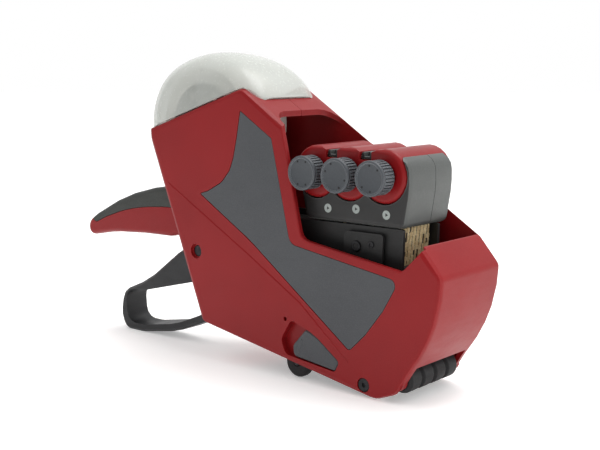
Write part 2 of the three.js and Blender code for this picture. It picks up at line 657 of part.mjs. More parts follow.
function addCasing() {
  const casingCorners = [
    [41.2, 100, 4],
    [45.6, casingFloor, 3.2],
    [casingFrontX - 3, casingFloor, 3.2],
    [casingFrontX, 98, 30],
    [casingFrontX - 0.3, 113.6, 9],
    [43, 113.6, 5],
  ];
  const shellThick = 1.8;
  const outer = slab(rounded(casingCorners, 0, 0.4), headNear, headFar, 2.6, 2);
  const hollow = slab(rounded(casingCorners, shellThick), headNear + shellThick, headFar - shellThick);
  const bandSlot = box(48.6, casingFrontX - 4.2, -cheekIn, cheekIn, 76, 84);
  const [first, , last] = knobAxes;
  const capRoom = lobes(lobeRadius + gap, headNear - 5, headFar + 5)
    .add(box(first[0] - lobeRadius, last[0], -30, 30, first[1], 130))
    .add(box(30, first[0], -30, 30, first[1] - 6, 130));
  const casing = outer.subtract(hollow).subtract(bandSlot).subtract(capRoom);
  const half = (sign) => casing.intersect(
    sign < 0 ? box(0, 200, -100, headSeam - gap / 2, 0, 200) : box(0, 200, headSeam + gap / 2, 100, 0, 200),
  ).decompose().sort((a, b) => b.volume() - a.volume())[0];
  add('head_casing_right', half(-1), 'charcoalPlastic');
  add('head_casing_left', half(1), 'charcoalPlastic');

  // The cap's three lobes lie round the selectors and close over the bands.
  const capNear = headNear - 0.5;
  const capFar = headFar + 0.5;
  const capThick = 1.5;
  const valley = first[1] + 7.8;
  let cap = lobes(lobeRadius, capNear, capFar)
    .add(box(first[0], last[0], capNear, capFar, first[1], valley));
  cap = cap.subtract(
    lobes(lobeRadius - capThick, capNear + capThick, capFar - capThick)
      .add(box(first[0], last[0], capNear + capThick, capFar - capThick, first[1] - 12, valley - capThick)),
  );
  const under = box(30, 120, headNear + shellThick - 0.2, headFar - shellThick + 0.2, 80, first[1] - 1);
  const bores = wasm.Manifold.union(knobAxes.map((axis) => rod(axis, 5 + gap, headNear - 4, headNear + 4)));
  const farBores = wasm.Manifold.union(
    knobAxes.map((axis) => rod(axis, shaftRadius + gap, headFar - 4, headFar + 4)),
  );
  cap = cap.subtract(under).subtract(bores).subtract(farBores);
  const windows = [0, 1].map((i) => (first[0] + last[0]) / 2 + (i - 0.5) * knobPitch);
  for (const x of windows) cap = cap.subtract(box(x - 3.5, x + 3.5, capNear - 1, -6, valley - 0.6, 130));
  add('head_cap', cap, 'redPlastic');

  windows.forEach((x, i) => {
    const low = valley - 0.3;
    const high = valley + 3;
    const insert = slab(rounded([
      [x - 3.2, high, 0.8], [x - 3.2, low, 0], [x + 3.2, low, 0], [x + 3.2, high, 0.8],
    ]), capNear + 1.4, -6 - gap).subtract(slab(polygon(
      [x - 1.5, high + 1], [x - 1.5, low + 1.2], [x + 1.5, low + 1.2], [x + 1.5, high + 1],
    ), capNear - 1, capNear + 4.5));
    add(`digit_window_${i + 1}`, insert, 'greyPlastic');
  });
}

function addSelectors() {
  const knobBack = headNear - 2.1;
  const face = knobBack - knobLength;
  const bandHalf = (bandCount * bandPitch) / 2;
  const bandWheelRadius = 8;
  knobAxes.forEach((axis, i) => {
    const knob = turned(axis, [
      [0, face + 0.5], [knobRadius - 1.6, face + 0.5], [knobRadius - 1.3, face], [knobRadius - 0.5, face],
      [knobRadius, face + 0.5], [knobRadius, knobBack], [shaftRadius + gap, knobBack],
      [shaftRadius + gap, face + 2.6], [0, face + 2.6],
    ], 24);
    add(`selector_knob_${i + 1}`, knob, 'greyPlastic');

    const shaft = rod(axis, shaftRadius, face + 2.9, headFar - 0.4)
      .add(rod(axis, 4.7, bandHalf - bandPitch, bandHalf - 0.5, 16));
    add(`selector_shaft_${i + 1}`, shaft, 'steel');

    const collar = turned(axis, [
      [shaftRadius + gap, bandHalf - 0.2], [4.7, bandHalf - 0.2], [4.7, bandHalf + 1.7],
      [shaftRadius + gap, bandHalf + 1.7], [shaftRadius + gap, bandHalf - 0.2],
    ], 16);
    add(`selector_collar_${i + 1}`, collar, 'charcoalPlastic');

    const bushing = turned(axis, [
      [shaftRadius + gap, headNear - 1.7], [6, headNear - 1.7], [6, headNear - 0.8],
      [5, headNear - 0.8], [5, headNear + 2.4], [shaftRadius + gap, headNear + 2.4],
      [shaftRadius + gap, headNear - 1.7],
    ], 20);
    add(`selector_bushing_${i + 1}`, bushing, 'charcoalPlastic');

    const wheels = turned(axis, [
      [5, -bandHalf], [bandWheelRadius, -bandHalf], [bandWheelRadius, bandHalf], [5, bandHalf], [5, -bandHalf],
    ], 20);
    add(`band_wheels_${i + 1}`, wheels, 'charcoalPlastic');

    // One belt for each digit, lying side by side round the wheel and the print head's lower bar.
    const low = anvilAxes[i];
    const round = (grow) => {
      const circles = [[axis, bandWheelRadius + grow], [low, anvilRadius + grow]];
      // The front pack also runs over a bar that holds it out near the head's front.
      if (i === 2) circles.push([guideBar, 1.5 + grow]);
      return beltAround(circles);
    };
    const beltIn = round(gap);
    const beltOut = round(gap + bandThick);
    const belts = slab(beltOut, -bandHalf, bandHalf).subtract(slab(beltIn, -bandHalf - 1, bandHalf + 1));
    add(`type_bands_${i + 1}`, belts, 'bandGold');
  });
}

function addInkRoller() {
  const plateIn = cheekOut + 0.6;
  const plateOut = plateIn + 1.6;
  const reach = 50.7;
  const lean = Math.asin(4 / reach);
  const rollerAxis = [inkArmAxis[0] + 4, inkArmAxis[1] - reach * Math.cos(lean)];
  const [rollerX, rollerZ] = rollerAxis;
  const armCorners = [
    [69.6, 76.9, 3],
    [69.6, 60, 12],
    [rollerX - 8.6, rollerZ + 2.6, 1],
    [rollerX - 8.2, rollerZ - 2.4, 1],
    [rollerX + 2.7, rollerZ - 2.7, 2.4],
    [91.4, 50, 20],
    [92.4, 76.9, 1.5],
  ];
  const plate = slab(rounded(armCorners), -plateOut, -plateIn)
    .subtract(rod(inkArmAxis, 2.4 + runningGap, -30, 0, 16))
    .subtract(slab(rounded([[79.5, 62, 2], [80.5, 30, 1.5], [83, 30, 1.5], [87.5, 62, 2]]), -30, 0));
  const tie = box(rollerX - 8.2, rollerX - 6.4, -plateIn - 0.3, plateIn + 0.3, rollerZ - 1.2, rollerZ + 3);
  const arm = bothSides(plate).add(tie).subtract(rod(rollerAxis, 1.2 + gap, -30, 30));
  add('ink_arm', arm, 'charcoalPlastic');
  const rollerHalf = cheekIn - 1.6;
  add('ink_roller', turned(rollerAxis, [
    [1.2 + gap, -rollerHalf], [inkRollerRadius, -rollerHalf], [inkRollerRadius, rollerHalf],
    [1.2 + gap, rollerHalf], [1.2 + gap, -rollerHalf],
  ], 24), 'inkFelt');
  add('ink_roller_pin', rod(rollerAxis, 1.2, -plateOut + 0.1, plateOut - 0.1, 14), 'steel');
}

// ---- label feed ----
function addFeed() {
  const teeth = 12;
  const outline = [];
  for (let k = 0; k < teeth; k++) {
    for (const [share, radius] of [[0, 8.2], [0.45, 8.2], [0.6, 9.6], [0.85, 9.6]]) {
      const angle = ((k + share) * 2 * Math.PI) / teeth;
      outline.push(new THREE.Vector2(feedAxis[0] + radius * Math.cos(angle), feedAxis[1] + radius * Math.sin(angle)));
    }
  }
  const bore = rod(feedAxis, 2 + gap, -20, 20, 18);
  const wheel = bothSides(slab(outline, -9, -5)).add(rod(feedAxis, 6.6, -11.6, 8, 24)).subtract(bore);
  add('feed_wheel', wheel, 'charcoalPlastic');

  const ratchet = [];
  const ratchetTeeth = 12;
  for (let k = 0; k < ratchetTeeth; k++) {
    for (const [share, radius] of [[0.5, 6.2], [0.56, 8], [1.45, 6.2]]) {
      const angle = ((k + share) * 2 * Math.PI) / ratchetTeeth;
      ratchet.push(new THREE.Vector2(feedAxis[0] + radius * Math.cos(angle), feedAxis[1] + radius * Math.sin(angle)));
    }
  }
  add('ratchet_wheel', slab(ratchet.slice(0, -1), 9.2, 11.8).subtract(bore), 'steel');
  add('feed_axle', rod(feedAxis, 2, -halfWidth + 1.6, halfWidth - 1.6, 18), 'steel');

  const pawl = slab(rounded([
    [pawlAxis[0] - 3.4, pawlAxis[1] + 3.4, 3], [pawlAxis[0] - 8.4, pawlAxis[1] - 6.6, 0.4],
    [pawlAxis[0] - 6.6, pawlAxis[1] - 7.4, 0.4], [pawlAxis[0] + 3.6, pawlAxis[1] - 2.4, 3],
    [pawlAxis[0] + 3.2, pawlAxis[1] + 3.4, 3],
  ]), 9.4, 11.6).subtract(rod(pawlAxis, 1.4 + gap, 0, 20, 14));
  add('feed_pawl', pawl, 'steel');
}

// ---- bottom flap with its platen and guide wheels, latches, applicator ----
function addFlap() {
  const flapHalf = innerHalf - 0.4;
  const thick = 2.2;
  const plate = slab(polygon(
    [flapRearX, bottomAt(flapRearX)], [89, bottomAt(89)], [89, bottomAt(89) + thick],
    [flapRearX, bottomAt(flapRearX) + thick],
  ), -flapHalf, flapHalf);
  const wheelOut = innerHalf - 2.7;
  const wheelIn = wheelOut - 5;
  const lug = bothSides(slab(rounded([
    [guideAxis[0] - 4, bottomAt(guideAxis[0] - 4) + 1, 0], [guideAxis[0] - 3, guideAxis[1] - 3, 2.6],
    [guideAxis[0] + 3, guideAxis[1] - 3, 2.6], [guideAxis[0] + 4, bottomAt(guideAxis[0] + 4) + 1, 0],
  ]), -wheelIn + 0.4, -wheelIn + 2.6));
  const wheelRoom = bothSides(box(
    guideAxis[0] - guideWheelRadius - 0.8, guideAxis[0] + guideWheelRadius + 0.8,
    -wheelOut - 0.6, -wheelIn + 0.2, -5, 30,
  ));
  const pocketRoom = bothSides(box(34, 78, -30, -halfWidth + pocketDepth + 0.4, -5, 40));
  const flap = plate.subtract(pocketRoom).add(lug).subtract(wheelRoom)
    .add(rod(flapAxis, 3.7, -flapHalf, flapHalf, 20))
    .subtract(rod(flapAxis, 2 + runningGap, -40, 40, 18))
    .subtract(rod(guideAxis, 1.6 + gap, -40, 40, 16));
  add('bottom_flap', flap, 'charcoalPlastic');

  const pin = rod(flapAxis, 2, -halfWidth + 0.6, halfWidth - 0.6, 18)
    .add(rod(flapAxis, 3.2, -halfWidth + 0.4, -halfWidth + 1.4, 20))
    .subtract(rod(flapAxis, 1.2, -halfWidth, -halfWidth + 1.2, 6));
  add('flap_hinge_screw', pin, 'darkRubber');

  const padTop = thick + 0.2;
  add('platen_pad', slab(polygon(
    [60, bottomAt(60) + padTop], [83.5, bottomAt(83.5) + padTop],
    [83.5, bottomAt(83.5) + padTop + 1.1], [60, bottomAt(60) + padTop + 1.1],
  ), -15, 15), 'darkRubber');

  add('guide_axle', rod(guideAxis, 1.6, -wheelOut - 0.2, wheelOut + 0.2, 14), 'steel');
  const wheel = turned(guideAxis, [
    [1.6 + gap, -wheelOut], [guideWheelRadius - 1.2, -wheelOut], [guideWheelRadius, -wheelOut + 1.2],
    [guideWheelRadius, -wheelIn - 0.6], [guideWheelRadius - 0.6, -wheelIn], [1.6 + gap, -wheelIn],
    [1.6 + gap, -wheelOut],
  ], 24);
  add('guide_wheel_right', wheel, 'darkRubber');
  add('guide_wheel_left', mirrored(wheel), 'darkRubber');
}

function addLatches() {
  const face = -halfWidth + 0.35;
  const button = slab(rounded(latchButtonCorners, gap), face, -halfWidth + latchDepth - gap, 0.6, 1);
  const thumbRib = slab(rounded([[49.4, 22, 0.8], [47.4, 15.4, 0.8], [48.8, 15.1, 0.6], [50.8, 21.6, 0.6]]), face - 0.3, face + 1);
  const stem = slab(rounded([
    [53, 20.8, 1], [53, 15.4, 1], [60, 14.6, 1], [60, 18.8, 1],
  ]), face + 2, -halfWidth + pocketDepth + 1.6);
  const latch = button.add(thumbRib).add(stem);
  add('latch_button_right', latch, 'greyPlastic');
  add('latch_button_left', mirrored(latch), 'greyPlastic');
}

function addApplicator() {
  const half = 20.2;
  const discs = 4;
  const pitch = (2 * half) / discs;
  const profile = [[1.8 + gap, -half]];
  for (let k = 0; k < discs; k++) {
    const start = -half + k * pitch;
    profile.push([applicatorRadius - 1.4, start + (k ? 0.5 : 0)], [applicatorRadius, start + 1.6]);
    profile.push([applicatorRadius, start + pitch - 1.6], [applicatorRadius - 1.4, start + pitch - (k < discs - 1 ? 0.5 : 0)]);
  }
  profile.push([1.8 + gap, half], [1.8 + gap, -half]);
  add('applicator_roller', turned(applicatorAxis, profile, 16), 'darkRubber');
  add('applicator_axle', rod(applicatorAxis, 1.8, -halfWidth + 1.6, halfWidth - 1.6, 16), 'steel');
}

addHousing();
addRollCover();
addRoll();
addHandle();
addTrigger();
addCarrier();
addCasing();
addSelectors();
addInkRoller();
addFeed();
addFlap();
addLatches();
addApplicator();

export default part;
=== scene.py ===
import json
import math
import random

import bmesh
import bpy
from mathutils import Matrix, Vector

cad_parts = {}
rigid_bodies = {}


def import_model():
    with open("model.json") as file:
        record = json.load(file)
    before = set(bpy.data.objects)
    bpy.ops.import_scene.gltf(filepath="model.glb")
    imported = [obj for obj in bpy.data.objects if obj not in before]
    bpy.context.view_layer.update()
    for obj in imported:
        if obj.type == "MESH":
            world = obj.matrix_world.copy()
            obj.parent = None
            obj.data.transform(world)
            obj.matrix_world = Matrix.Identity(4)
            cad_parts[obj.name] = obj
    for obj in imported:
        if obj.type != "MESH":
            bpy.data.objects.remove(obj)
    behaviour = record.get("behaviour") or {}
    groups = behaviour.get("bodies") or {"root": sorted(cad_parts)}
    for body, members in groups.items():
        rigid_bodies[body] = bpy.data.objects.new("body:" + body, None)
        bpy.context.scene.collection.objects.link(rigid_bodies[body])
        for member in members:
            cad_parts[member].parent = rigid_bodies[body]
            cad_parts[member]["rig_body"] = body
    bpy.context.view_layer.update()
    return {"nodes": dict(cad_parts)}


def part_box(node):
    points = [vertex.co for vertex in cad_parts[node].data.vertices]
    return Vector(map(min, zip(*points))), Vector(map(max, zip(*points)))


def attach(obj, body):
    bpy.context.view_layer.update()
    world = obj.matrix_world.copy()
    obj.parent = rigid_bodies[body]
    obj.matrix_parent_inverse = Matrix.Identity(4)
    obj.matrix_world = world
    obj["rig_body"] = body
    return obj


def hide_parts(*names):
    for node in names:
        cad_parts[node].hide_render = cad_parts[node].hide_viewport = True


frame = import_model()
mm = 0.001
print("price labeling gun: frame loaded,", len(frame["nodes"]), "nodes")

scene = bpy.context.scene
scene.view_settings.view_transform = "Standard"


# Camera: places in mm, the nearest visible distance in m
view = {
    "standsAt": (380.8, -420.3, 156.6),
    "looksAt": (27.6, 0.0, 73.2),
    "lens": 65.0,
    "sensor": 36.0,
    "nearest": 0.01,
}

cameraData = bpy.data.cameras.new("frontRightView")
cameraData.lens = view["lens"]
cameraData.sensor_width = view["sensor"]
cameraData.clip_start = view["nearest"]
camera = bpy.data.objects.new("frontRightView", cameraData)
scene.collection.objects.link(camera)
camera.location = Vector(view["standsAt"]) * mm
aim = (Vector(view["looksAt"]) - Vector(view["standsAt"])) * mm
camera.rotation_euler = aim.to_track_quat("-Z", "Y").to_euler()
scene.camera = camera


# Sky, floor and lamps: the sky is darker on the camera's side, so the near face isn't washed out
studio = {
    "skyBehind": (1.0, 1.0, 1.0),
    "skyInFront": (0.38, 0.38, 0.39),
    "skyFades": (-0.9, 0.15),  # between these values of y
    "skyStrength": 1.0,
    "floorColour": (0.93, 0.93, 0.92),
    "floorPatches": 0.985,
    "floorPatchScale": 6,
    "floorRoughness": 0.8,
    "floorGlow": 0.3,
    "floorRadius": 5.0,
    "floorSides": 96,
    # name: stands at (m), aims at (m), size (m), power (W), colour
    "lamps": {
        "keySoftbox": ((-0.5, -0.9, 1.3), (0.0, 0.0, 0.08), 0.9, 3.0, (1.0, 0.99, 0.97)),
        "noseSoftbox": ((1.25, 0.15, 0.35), (0.1, 0.0, 0.05), 0.7, 2.0, (1.0, 1.0, 1.0)),
        "topSoftbox": ((0.25, 0.35, 1.2), (0.0, 0.0, 0.1), 0.8, 9.0, (1.0, 1.0, 1.0)),
    },
}

# sockets of a Mix node that is set to colours
mixFactor, mixFirst, mixSecond, mixResult = 0, 6, 7, 2

world = bpy.data.worlds.new("studioSky")
world.use_nodes = True
sky = world.node_tree.nodes["Background"]
around = world.node_tree.nodes.new("ShaderNodeTexCoord")
split = world.node_tree.nodes.new("ShaderNodeSeparateXYZ")
fade = world.node_tree.nodes.new("ShaderNodeMapRange")
fade.interpolation_type = "SMOOTHSTEP"
fade.inputs["From Min"].default_value, fade.inputs["From Max"].default_value = studio["skyFades"]
skyMix = world.node_tree.nodes.new("ShaderNodeMix")
skyMix.data_type = "RGBA"
skyMix.inputs[mixFirst].default_value = (*studio["skyInFront"], 1)
skyMix.inputs[mixSecond].default_value = (*studio["skyBehind"], 1)
world.node_tree.links.new(around.outputs["Generated"], split.inputs["Vector"])
world.node_tree.links.new(split.outputs["Y"], fade.inputs["Value"])
world.node_tree.links.new(fade.outputs["Result"], skyMix.inputs[mixFactor])
world.node_tree.links.new(skyMix.outputs[mixResult], sky.inputs["Color"])
sky.inputs["Strength"].default_value = studio["skyStrength"]
scene.world = world

for lampName, (standsAt, aimsAt, size, power, colour) in studio["lamps"].items():
    lampData = bpy.data.lights.new(lampName, "AREA")
    lampData.shape = "SQUARE"
    lampData.size = size
    lampData.energy = power
    lampData.color = colour
    lamp = bpy.data.objects.new(lampName, lampData)
    scene.collection.objects.link(lamp)
    lamp.location = standsAt
    lamp.rotation_euler = (Vector(aimsAt) - Vector(standsAt)).to_track_quat("-Z", "Y").to_euler()


# Materials
def startMaterial(name):
    material = bpy.data.materials.new(name)
    material.use_nodes = True
    tree = material.node_tree
    shader = tree.nodes["Principled BSDF"]
    place = tree.nodes.new("ShaderNodeTexCoord")
    return material, tree, shader, place.outputs["Object"]


def noiseNode(tree, place, scale, detail=3.0, rough=0.5, stretch=None):
    noise = tree.nodes.new("ShaderNodeTexNoise")
    noise.inputs["Scale"].default_value = scale
    noise.inputs["Detail"].default_value = detail
    noise.inputs["Roughness"].default_value = rough
    if stretch:
        mapping = tree.nodes.new("ShaderNodeMapping")
        mapping.inputs["Scale"].default_value = stretch
        tree.links.new(place, mapping.inputs["Vector"])
        place = mapping.outputs["Vector"]
    tree.links.new(place, noise.inputs["Vector"])
    return noise.outputs["Fac"]


def rangeNode(tree, source, fromLow, fromHigh, toLow, toHigh):
    spread = tree.nodes.new("ShaderNodeMapRange")
    spread.inputs["From Min"].default_value = fromLow
    spread.inputs["From Max"].default_value = fromHigh
    spread.inputs["To Min"].default_value = toLow
    spread.inputs["To Max"].default_value = toHigh
    tree.links.new(source, spread.inputs["Value"])
    return spread.outputs["Result"]


def mixColours(tree, factor, first, second):
    mix = tree.nodes.new("ShaderNodeMix")
    mix.data_type = "RGBA"
    for value, socket in ((factor, mixFactor), (first, mixFirst), (second, mixSecond)):
        if isinstance(value, bpy.types.NodeSocket):
            tree.links.new(value, mix.inputs[socket])
        elif isinstance(value, tuple):
            mix.inputs[socket].default_value = (*value, 1)
        else:
            mix.inputs[socket].default_value = value
    return mix.outputs[mixResult]


def bumpNode(tree, height, distance, strength=1.0, under=None):
    bump = tree.nodes.new("ShaderNodeBump")
    bump.inputs["Distance"].default_value = distance
    bump.inputs["Strength"].default_value = strength
    tree.links.new(height, bump.inputs["Height"])
    if under:
        tree.links.new(under, bump.inputs["Normal"])
    return bump.outputs["Normal"]


# Moulded plastic: soft colour patches, a spark-eroded grain, handling scuffs, paler edges (wear, and on the
# knobs also a painted highlight) and, on the head, painted shade that makes the near face darker than its
# front.
# A finish below gives its colours, and any of these that it changes: widths in mm, depths in m
plastic = {
    "patchScale": 24,
    "patchRange": (0.35, 0.65),
    "speckScale": 1500,
    "speckRange": (0.42, 0.68),
    "speckAmount": 0.35,
    # painted shade: the normal's y over which the head's darker near-face colour fades into its front colour
    "paintedShadeRange": (-0.95, -0.6),
    # paler edges: wear, and on the knobs also a painted highlight
    "wearAndHighlightWidth": 0.9,
    "wearAndHighlightRange": (1.0, 0.86),
    "wearAndHighlightAmount": 0.4,
    "wearAndHighlightSamples": 3,
    "scuffScale": 90,
    "scuffRange": (0.3, 0.7),
    "scuffStretch": (1, 1, 3),
    "grainScale": 2100,
    "grainDepth": 0.00003,
    "grainStrength": 0.5,
    "swellScale": 55,
    "swellDepth": 0.00008,
    "swellStrength": 0.25,
    "gloss": 0.5,
}


def mouldedPlastic(name, changes):
    look = {**plastic, **changes}
    material, tree, shader, place = startMaterial(name)
    patches = noiseNode(tree, place, look["patchScale"], 4)
    patched = rangeNode(tree, patches, *look["patchRange"], 0, 1)
    tone = mixColours(tree, patched, look["colour"], look["shade"])
    facing = tree.nodes.new("ShaderNodeNewGeometry")
    specks = noiseNode(tree, place, look["speckScale"], 2)
    specked = rangeNode(tree, specks, *look["speckRange"], 0, look["speckAmount"])
    speckled = mixColours(tree, specked, tone, look["fleck"])
    # painted shade: faces of the head that point to the near side (-y) get a darker colour than those facing
    # the front
    if "paintedShadeColour" in look:  # the head's near face is darker than its front
        sideways = tree.nodes.new("ShaderNodeSeparateXYZ")
        tree.links.new(facing.outputs["Normal"], sideways.inputs["Vector"])
        paintedShadeFade = rangeNode(tree, sideways.outputs["Y"], *look["paintedShadeRange"], 0, 1)
        speckled = mixColours(tree, paintedShadeFade, look["paintedShadeColour"], speckled)
    rounder = tree.nodes.new("ShaderNodeBevel")
    rounder.samples = look["wearAndHighlightSamples"]
    rounder.inputs["Radius"].default_value = look["wearAndHighlightWidth"] * mm
    turned = tree.nodes.new("ShaderNodeVectorMath")
    turned.operation = "DOT_PRODUCT"
    tree.links.new(rounder.outputs["Normal"], turned.inputs[0])
    tree.links.new(facing.outputs["Normal"], turned.inputs[1])
    # paler edges found with the bevel normal: wear, and on the knobs also a painted highlight along the rims
    edge = rangeNode(tree, turned.outputs["Value"], *look["wearAndHighlightRange"], 0, look["wearAndHighlightAmount"])
    wearAndHighlight = mixColours(tree, edge, speckled, look["wearAndHighlight"])
    tree.links.new(wearAndHighlight, shader.inputs["Base Color"])
    scuffs = noiseNode(tree, place, look["scuffScale"], 5, 0.6, look["scuffStretch"])
    roughness = rangeNode(tree, scuffs, *look["scuffRange"], *look["roughness"])
    tree.links.new(roughness, shader.inputs["Roughness"])
    grain = noiseNode(tree, place, look["grainScale"], 2, 0.6)
    swell = noiseNode(tree, place, look["swellScale"], 2)
    smooth = bumpNode(tree, swell, look["swellDepth"], look["swellStrength"])
    bumps = bumpNode(tree, grain, look["grainDepth"], look["grainStrength"], smooth)
    tree.links.new(bumps, shader.inputs["Normal"])
    shader.inputs["Specular IOR Level"].default_value = look["gloss"]
    return material


finishes = {
    "redPlastic": {
        "colour": (0.255, 0.0075, 0.0095),
        "shade": (0.222, 0.0058, 0.0075),
        "fleck": (0.28, 0.014, 0.015),
        "wearAndHighlight": (0.36, 0.04, 0.04),
        "roughness": (0.30, 0.42),
        "gloss": 0.2,
    },
    "panelGrey": {
        "colour": (0.064, 0.067, 0.073),
        "shade": (0.057, 0.060, 0.066),
        "fleck": (0.098, 0.102, 0.108),
        "wearAndHighlight": (0.12, 0.125, 0.13),
        "roughness": (0.5, 0.62),
        "speckScale": 1900,
        "grainDepth": 0.00006,
        "gloss": 0.35,
    },
    "knobGrey": {
        "colour": (0.050, 0.056, 0.064),
        "shade": (0.043, 0.049, 0.056),
        "fleck": (0.07, 0.077, 0.086),
        # the pale edge colour here is partly wear and partly a painted highlight along the knob rims
        "wearAndHighlight": (0.26, 0.28, 0.30),
        "roughness": (0.36, 0.5),
        "wearAndHighlightWidth": 0.6,
        "wearAndHighlightAmount": 0.75,
        "gloss": 0.4,
    },
    "headGrey": {
        "colour": (0.082, 0.087, 0.083),
        "shade": (0.072, 0.077, 0.074),
        "fleck": (0.11, 0.115, 0.11),
        "wearAndHighlight": (0.14, 0.145, 0.14),
        "roughness": (0.36, 0.5),
        "gloss": 0.4,
        # painted shade: the colour given to the head's near face, darker than its front
        "paintedShadeColour": (0.017, 0.0165, 0.0165),
    },
    "headCharcoal": {
        "colour": (0.014, 0.0138, 0.0138),
        "shade": (0.011, 0.011, 0.011),
        "fleck": (0.026, 0.025, 0.025),
        "wearAndHighlight": (0.045, 0.044, 0.043),
        "roughness": (0.42, 0.56),
        "gloss": 0.35,
    },
    "softGrip": {
        "colour": (0.041, 0.044, 0.040),
        "shade": (0.034, 0.037, 0.034),
        "fleck": (0.062, 0.065, 0.06),
        "wearAndHighlight": (0.08, 0.084, 0.078),
        "roughness": (0.52, 0.68),
        "grainDepth": 0.0001,
        "grainScale": 1500,
        "gloss": 0.35,
    },
    "triggerGrey": {
        "colour": (0.016, 0.0165, 0.018),
        "shade": (0.012, 0.0125, 0.014),
        "fleck": (0.026, 0.027, 0.029),
        "wearAndHighlight": (0.07, 0.071, 0.072),
        "roughness": (0.4, 0.55),
        "gloss": 0.35,
    },
    "blackRubber": {
        "colour": (0.009, 0.009, 0.010),
        "shade": (0.013, 0.013, 0.014),
        "fleck": (0.022, 0.022, 0.022),
        "wearAndHighlight": (0.035, 0.035, 0.035),
        "roughness": (0.55, 0.75),
        "grainDepth": 0.00012,
        "grainScale": 1300,
        "gloss": 0.3,
    },
    "inkFelt": {
        "colour": (0.018, 0.016, 0.03),
        "shade": (0.010, 0.009, 0.018),
        "fleck": (0.04, 0.038, 0.06),
        "wearAndHighlight": (0.05, 0.05, 0.07),
        "roughness": (0.75, 0.95),
        "grainDepth": 0.0002,
        "grainScale": 900,
        "gloss": 0.2,
    },
    "nylon": {
        "colour": (0.62, 0.60, 0.54),
        "shade": (0.56, 0.54, 0.48),
        "fleck": (0.68, 0.66, 0.6),
        "wearAndHighlight": (0.74, 0.72, 0.68),
        "roughness": (0.35, 0.5),
    },
    "beltDark": {
        "colour": (0.045, 0.032, 0.018),
        "shade": (0.03, 0.021, 0.012),
        "fleck": (0.07, 0.05, 0.03),
        "wearAndHighlight": (0.09, 0.07, 0.04),
        "roughness": (0.5, 0.7),
    },
    "markWhite": {
        "colour": (0.40, 0.44, 0.42),
        "shade": (0.33, 0.37, 0.35),
        "fleck": (0.24, 0.27, 0.26),
        "wearAndHighlight": (0.5, 0.52, 0.5),
        "roughness": (0.45, 0.6),
        "speckScale": 2600,
    },
}
materials = {name: mouldedPlastic(name, look) for name, look in finishes.items()}


# Milky clear plastic: hazier where it is seen edge on, with faint flow lines
clearPlastic = {
    "tint": (0.66, 0.68, 0.64),
    "flowTint": (0.58, 0.60, 0.56),
    "flowScale": 30,
    "flowStretch": (1, 2.5, 1),
    "flowDepth": 0.0002,
    "fineScale": 700,
    "roughness": (0.16, 0.3),
    "haze": (0.26, 0.38),
    "edgeHaze": 0.74,
    "edgeBlend": 0.42,
}


def clearDomePlastic():
    look = clearPlastic
    material, tree, shader, place = startMaterial("clearDome")
    flow = noiseNode(tree, place, look["flowScale"], 3, 0.5, look["flowStretch"])
    tint = mixColours(tree, rangeNode(tree, flow, 0.35, 0.65, 0, 1), look["tint"], look["flowTint"])
    tree.links.new(tint, shader.inputs["Base Color"])
    fine = noiseNode(tree, place, look["fineScale"], 2)
    tree.links.new(rangeNode(tree, fine, 0.3, 0.7, *look["roughness"]), shader.inputs["Roughness"])
    rim = tree.nodes.new("ShaderNodeLayerWeight")
    rim.inputs["Blend"].default_value = look["edgeBlend"]
    cloudy = rangeNode(tree, flow, 0.3, 0.7, *look["haze"])
    blend = tree.nodes.new("ShaderNodeMapRange")
    tree.links.new(rim.outputs["Facing"], blend.inputs["Value"])
    tree.links.new(cloudy, blend.inputs["To Min"])
    blend.inputs["To Max"].default_value = look["edgeHaze"]
    tree.links.new(blend.outputs["Result"], shader.inputs["Alpha"])
    tree.links.new(bumpNode(tree, flow, look["flowDepth"], 0.2), shader.inputs["Normal"])
    return material


# Label paper: warm white with fibre flecks
paper = {
    "colour": (0.80, 0.79, 0.74),
    "fibreColour": (0.68, 0.67, 0.62),
    "fibreScale": 1200,
    "fibreStretch": (1, 4, 1),
    "fibreDepth": 0.00005,
    "roughness": (0.6, 0.8),
}


def labelPaper():
    material, tree, shader, place = startMaterial("labelPaper")
    fibre = noiseNode(tree, place, paper["fibreScale"], 4, 0.6, paper["fibreStretch"])
    tone = mixColours(tree, rangeNode(tree, fibre, 0.35, 0.7, 0, 1), paper["colour"], paper["fibreColour"])
    tree.links.new(tone, shader.inputs["Base Color"])
    tree.links.new(rangeNode(tree, fibre, 0.3, 0.7, *paper["roughness"]), shader.inputs["Roughness"])
    tree.links.new(bumpNode(tree, fibre, paper["fibreDepth"], 0.4), shader.inputs["Normal"])
    return material


# Metals: brushed, with tarnish in patches
metals = {
    "typeGold": {
        "colour": (1.0, 0.86, 0.56),
        "tarnish": (0.62, 0.46, 0.22),
        "tarnishScale": 420,
        "strokeScale": 900,
        "strokes": (1, 1, 2),
        "roughness": (0.28, 0.45),
        "metal": 0.15,
    },
    "steel": {
        "colour": (0.56, 0.56, 0.57),
        "tarnish": (0.42, 0.42, 0.43),
        "tarnishScale": 160,
        "strokeScale": 500,
        "strokes": (1, 8, 1),
        "roughness": (0.25, 0.42),
        "metal": 1.0,
    },
    "blackSteel": {
        "colour": (0.035, 0.035, 0.037),
        "tarnish": (0.02, 0.02, 0.021),
        "tarnishScale": 300,
        "strokeScale": 700,
        "strokes": (1, 6, 1),
        "roughness": (0.35, 0.5),
        "metal": 0.8,
    },
}
strokeDepth = 0.00003


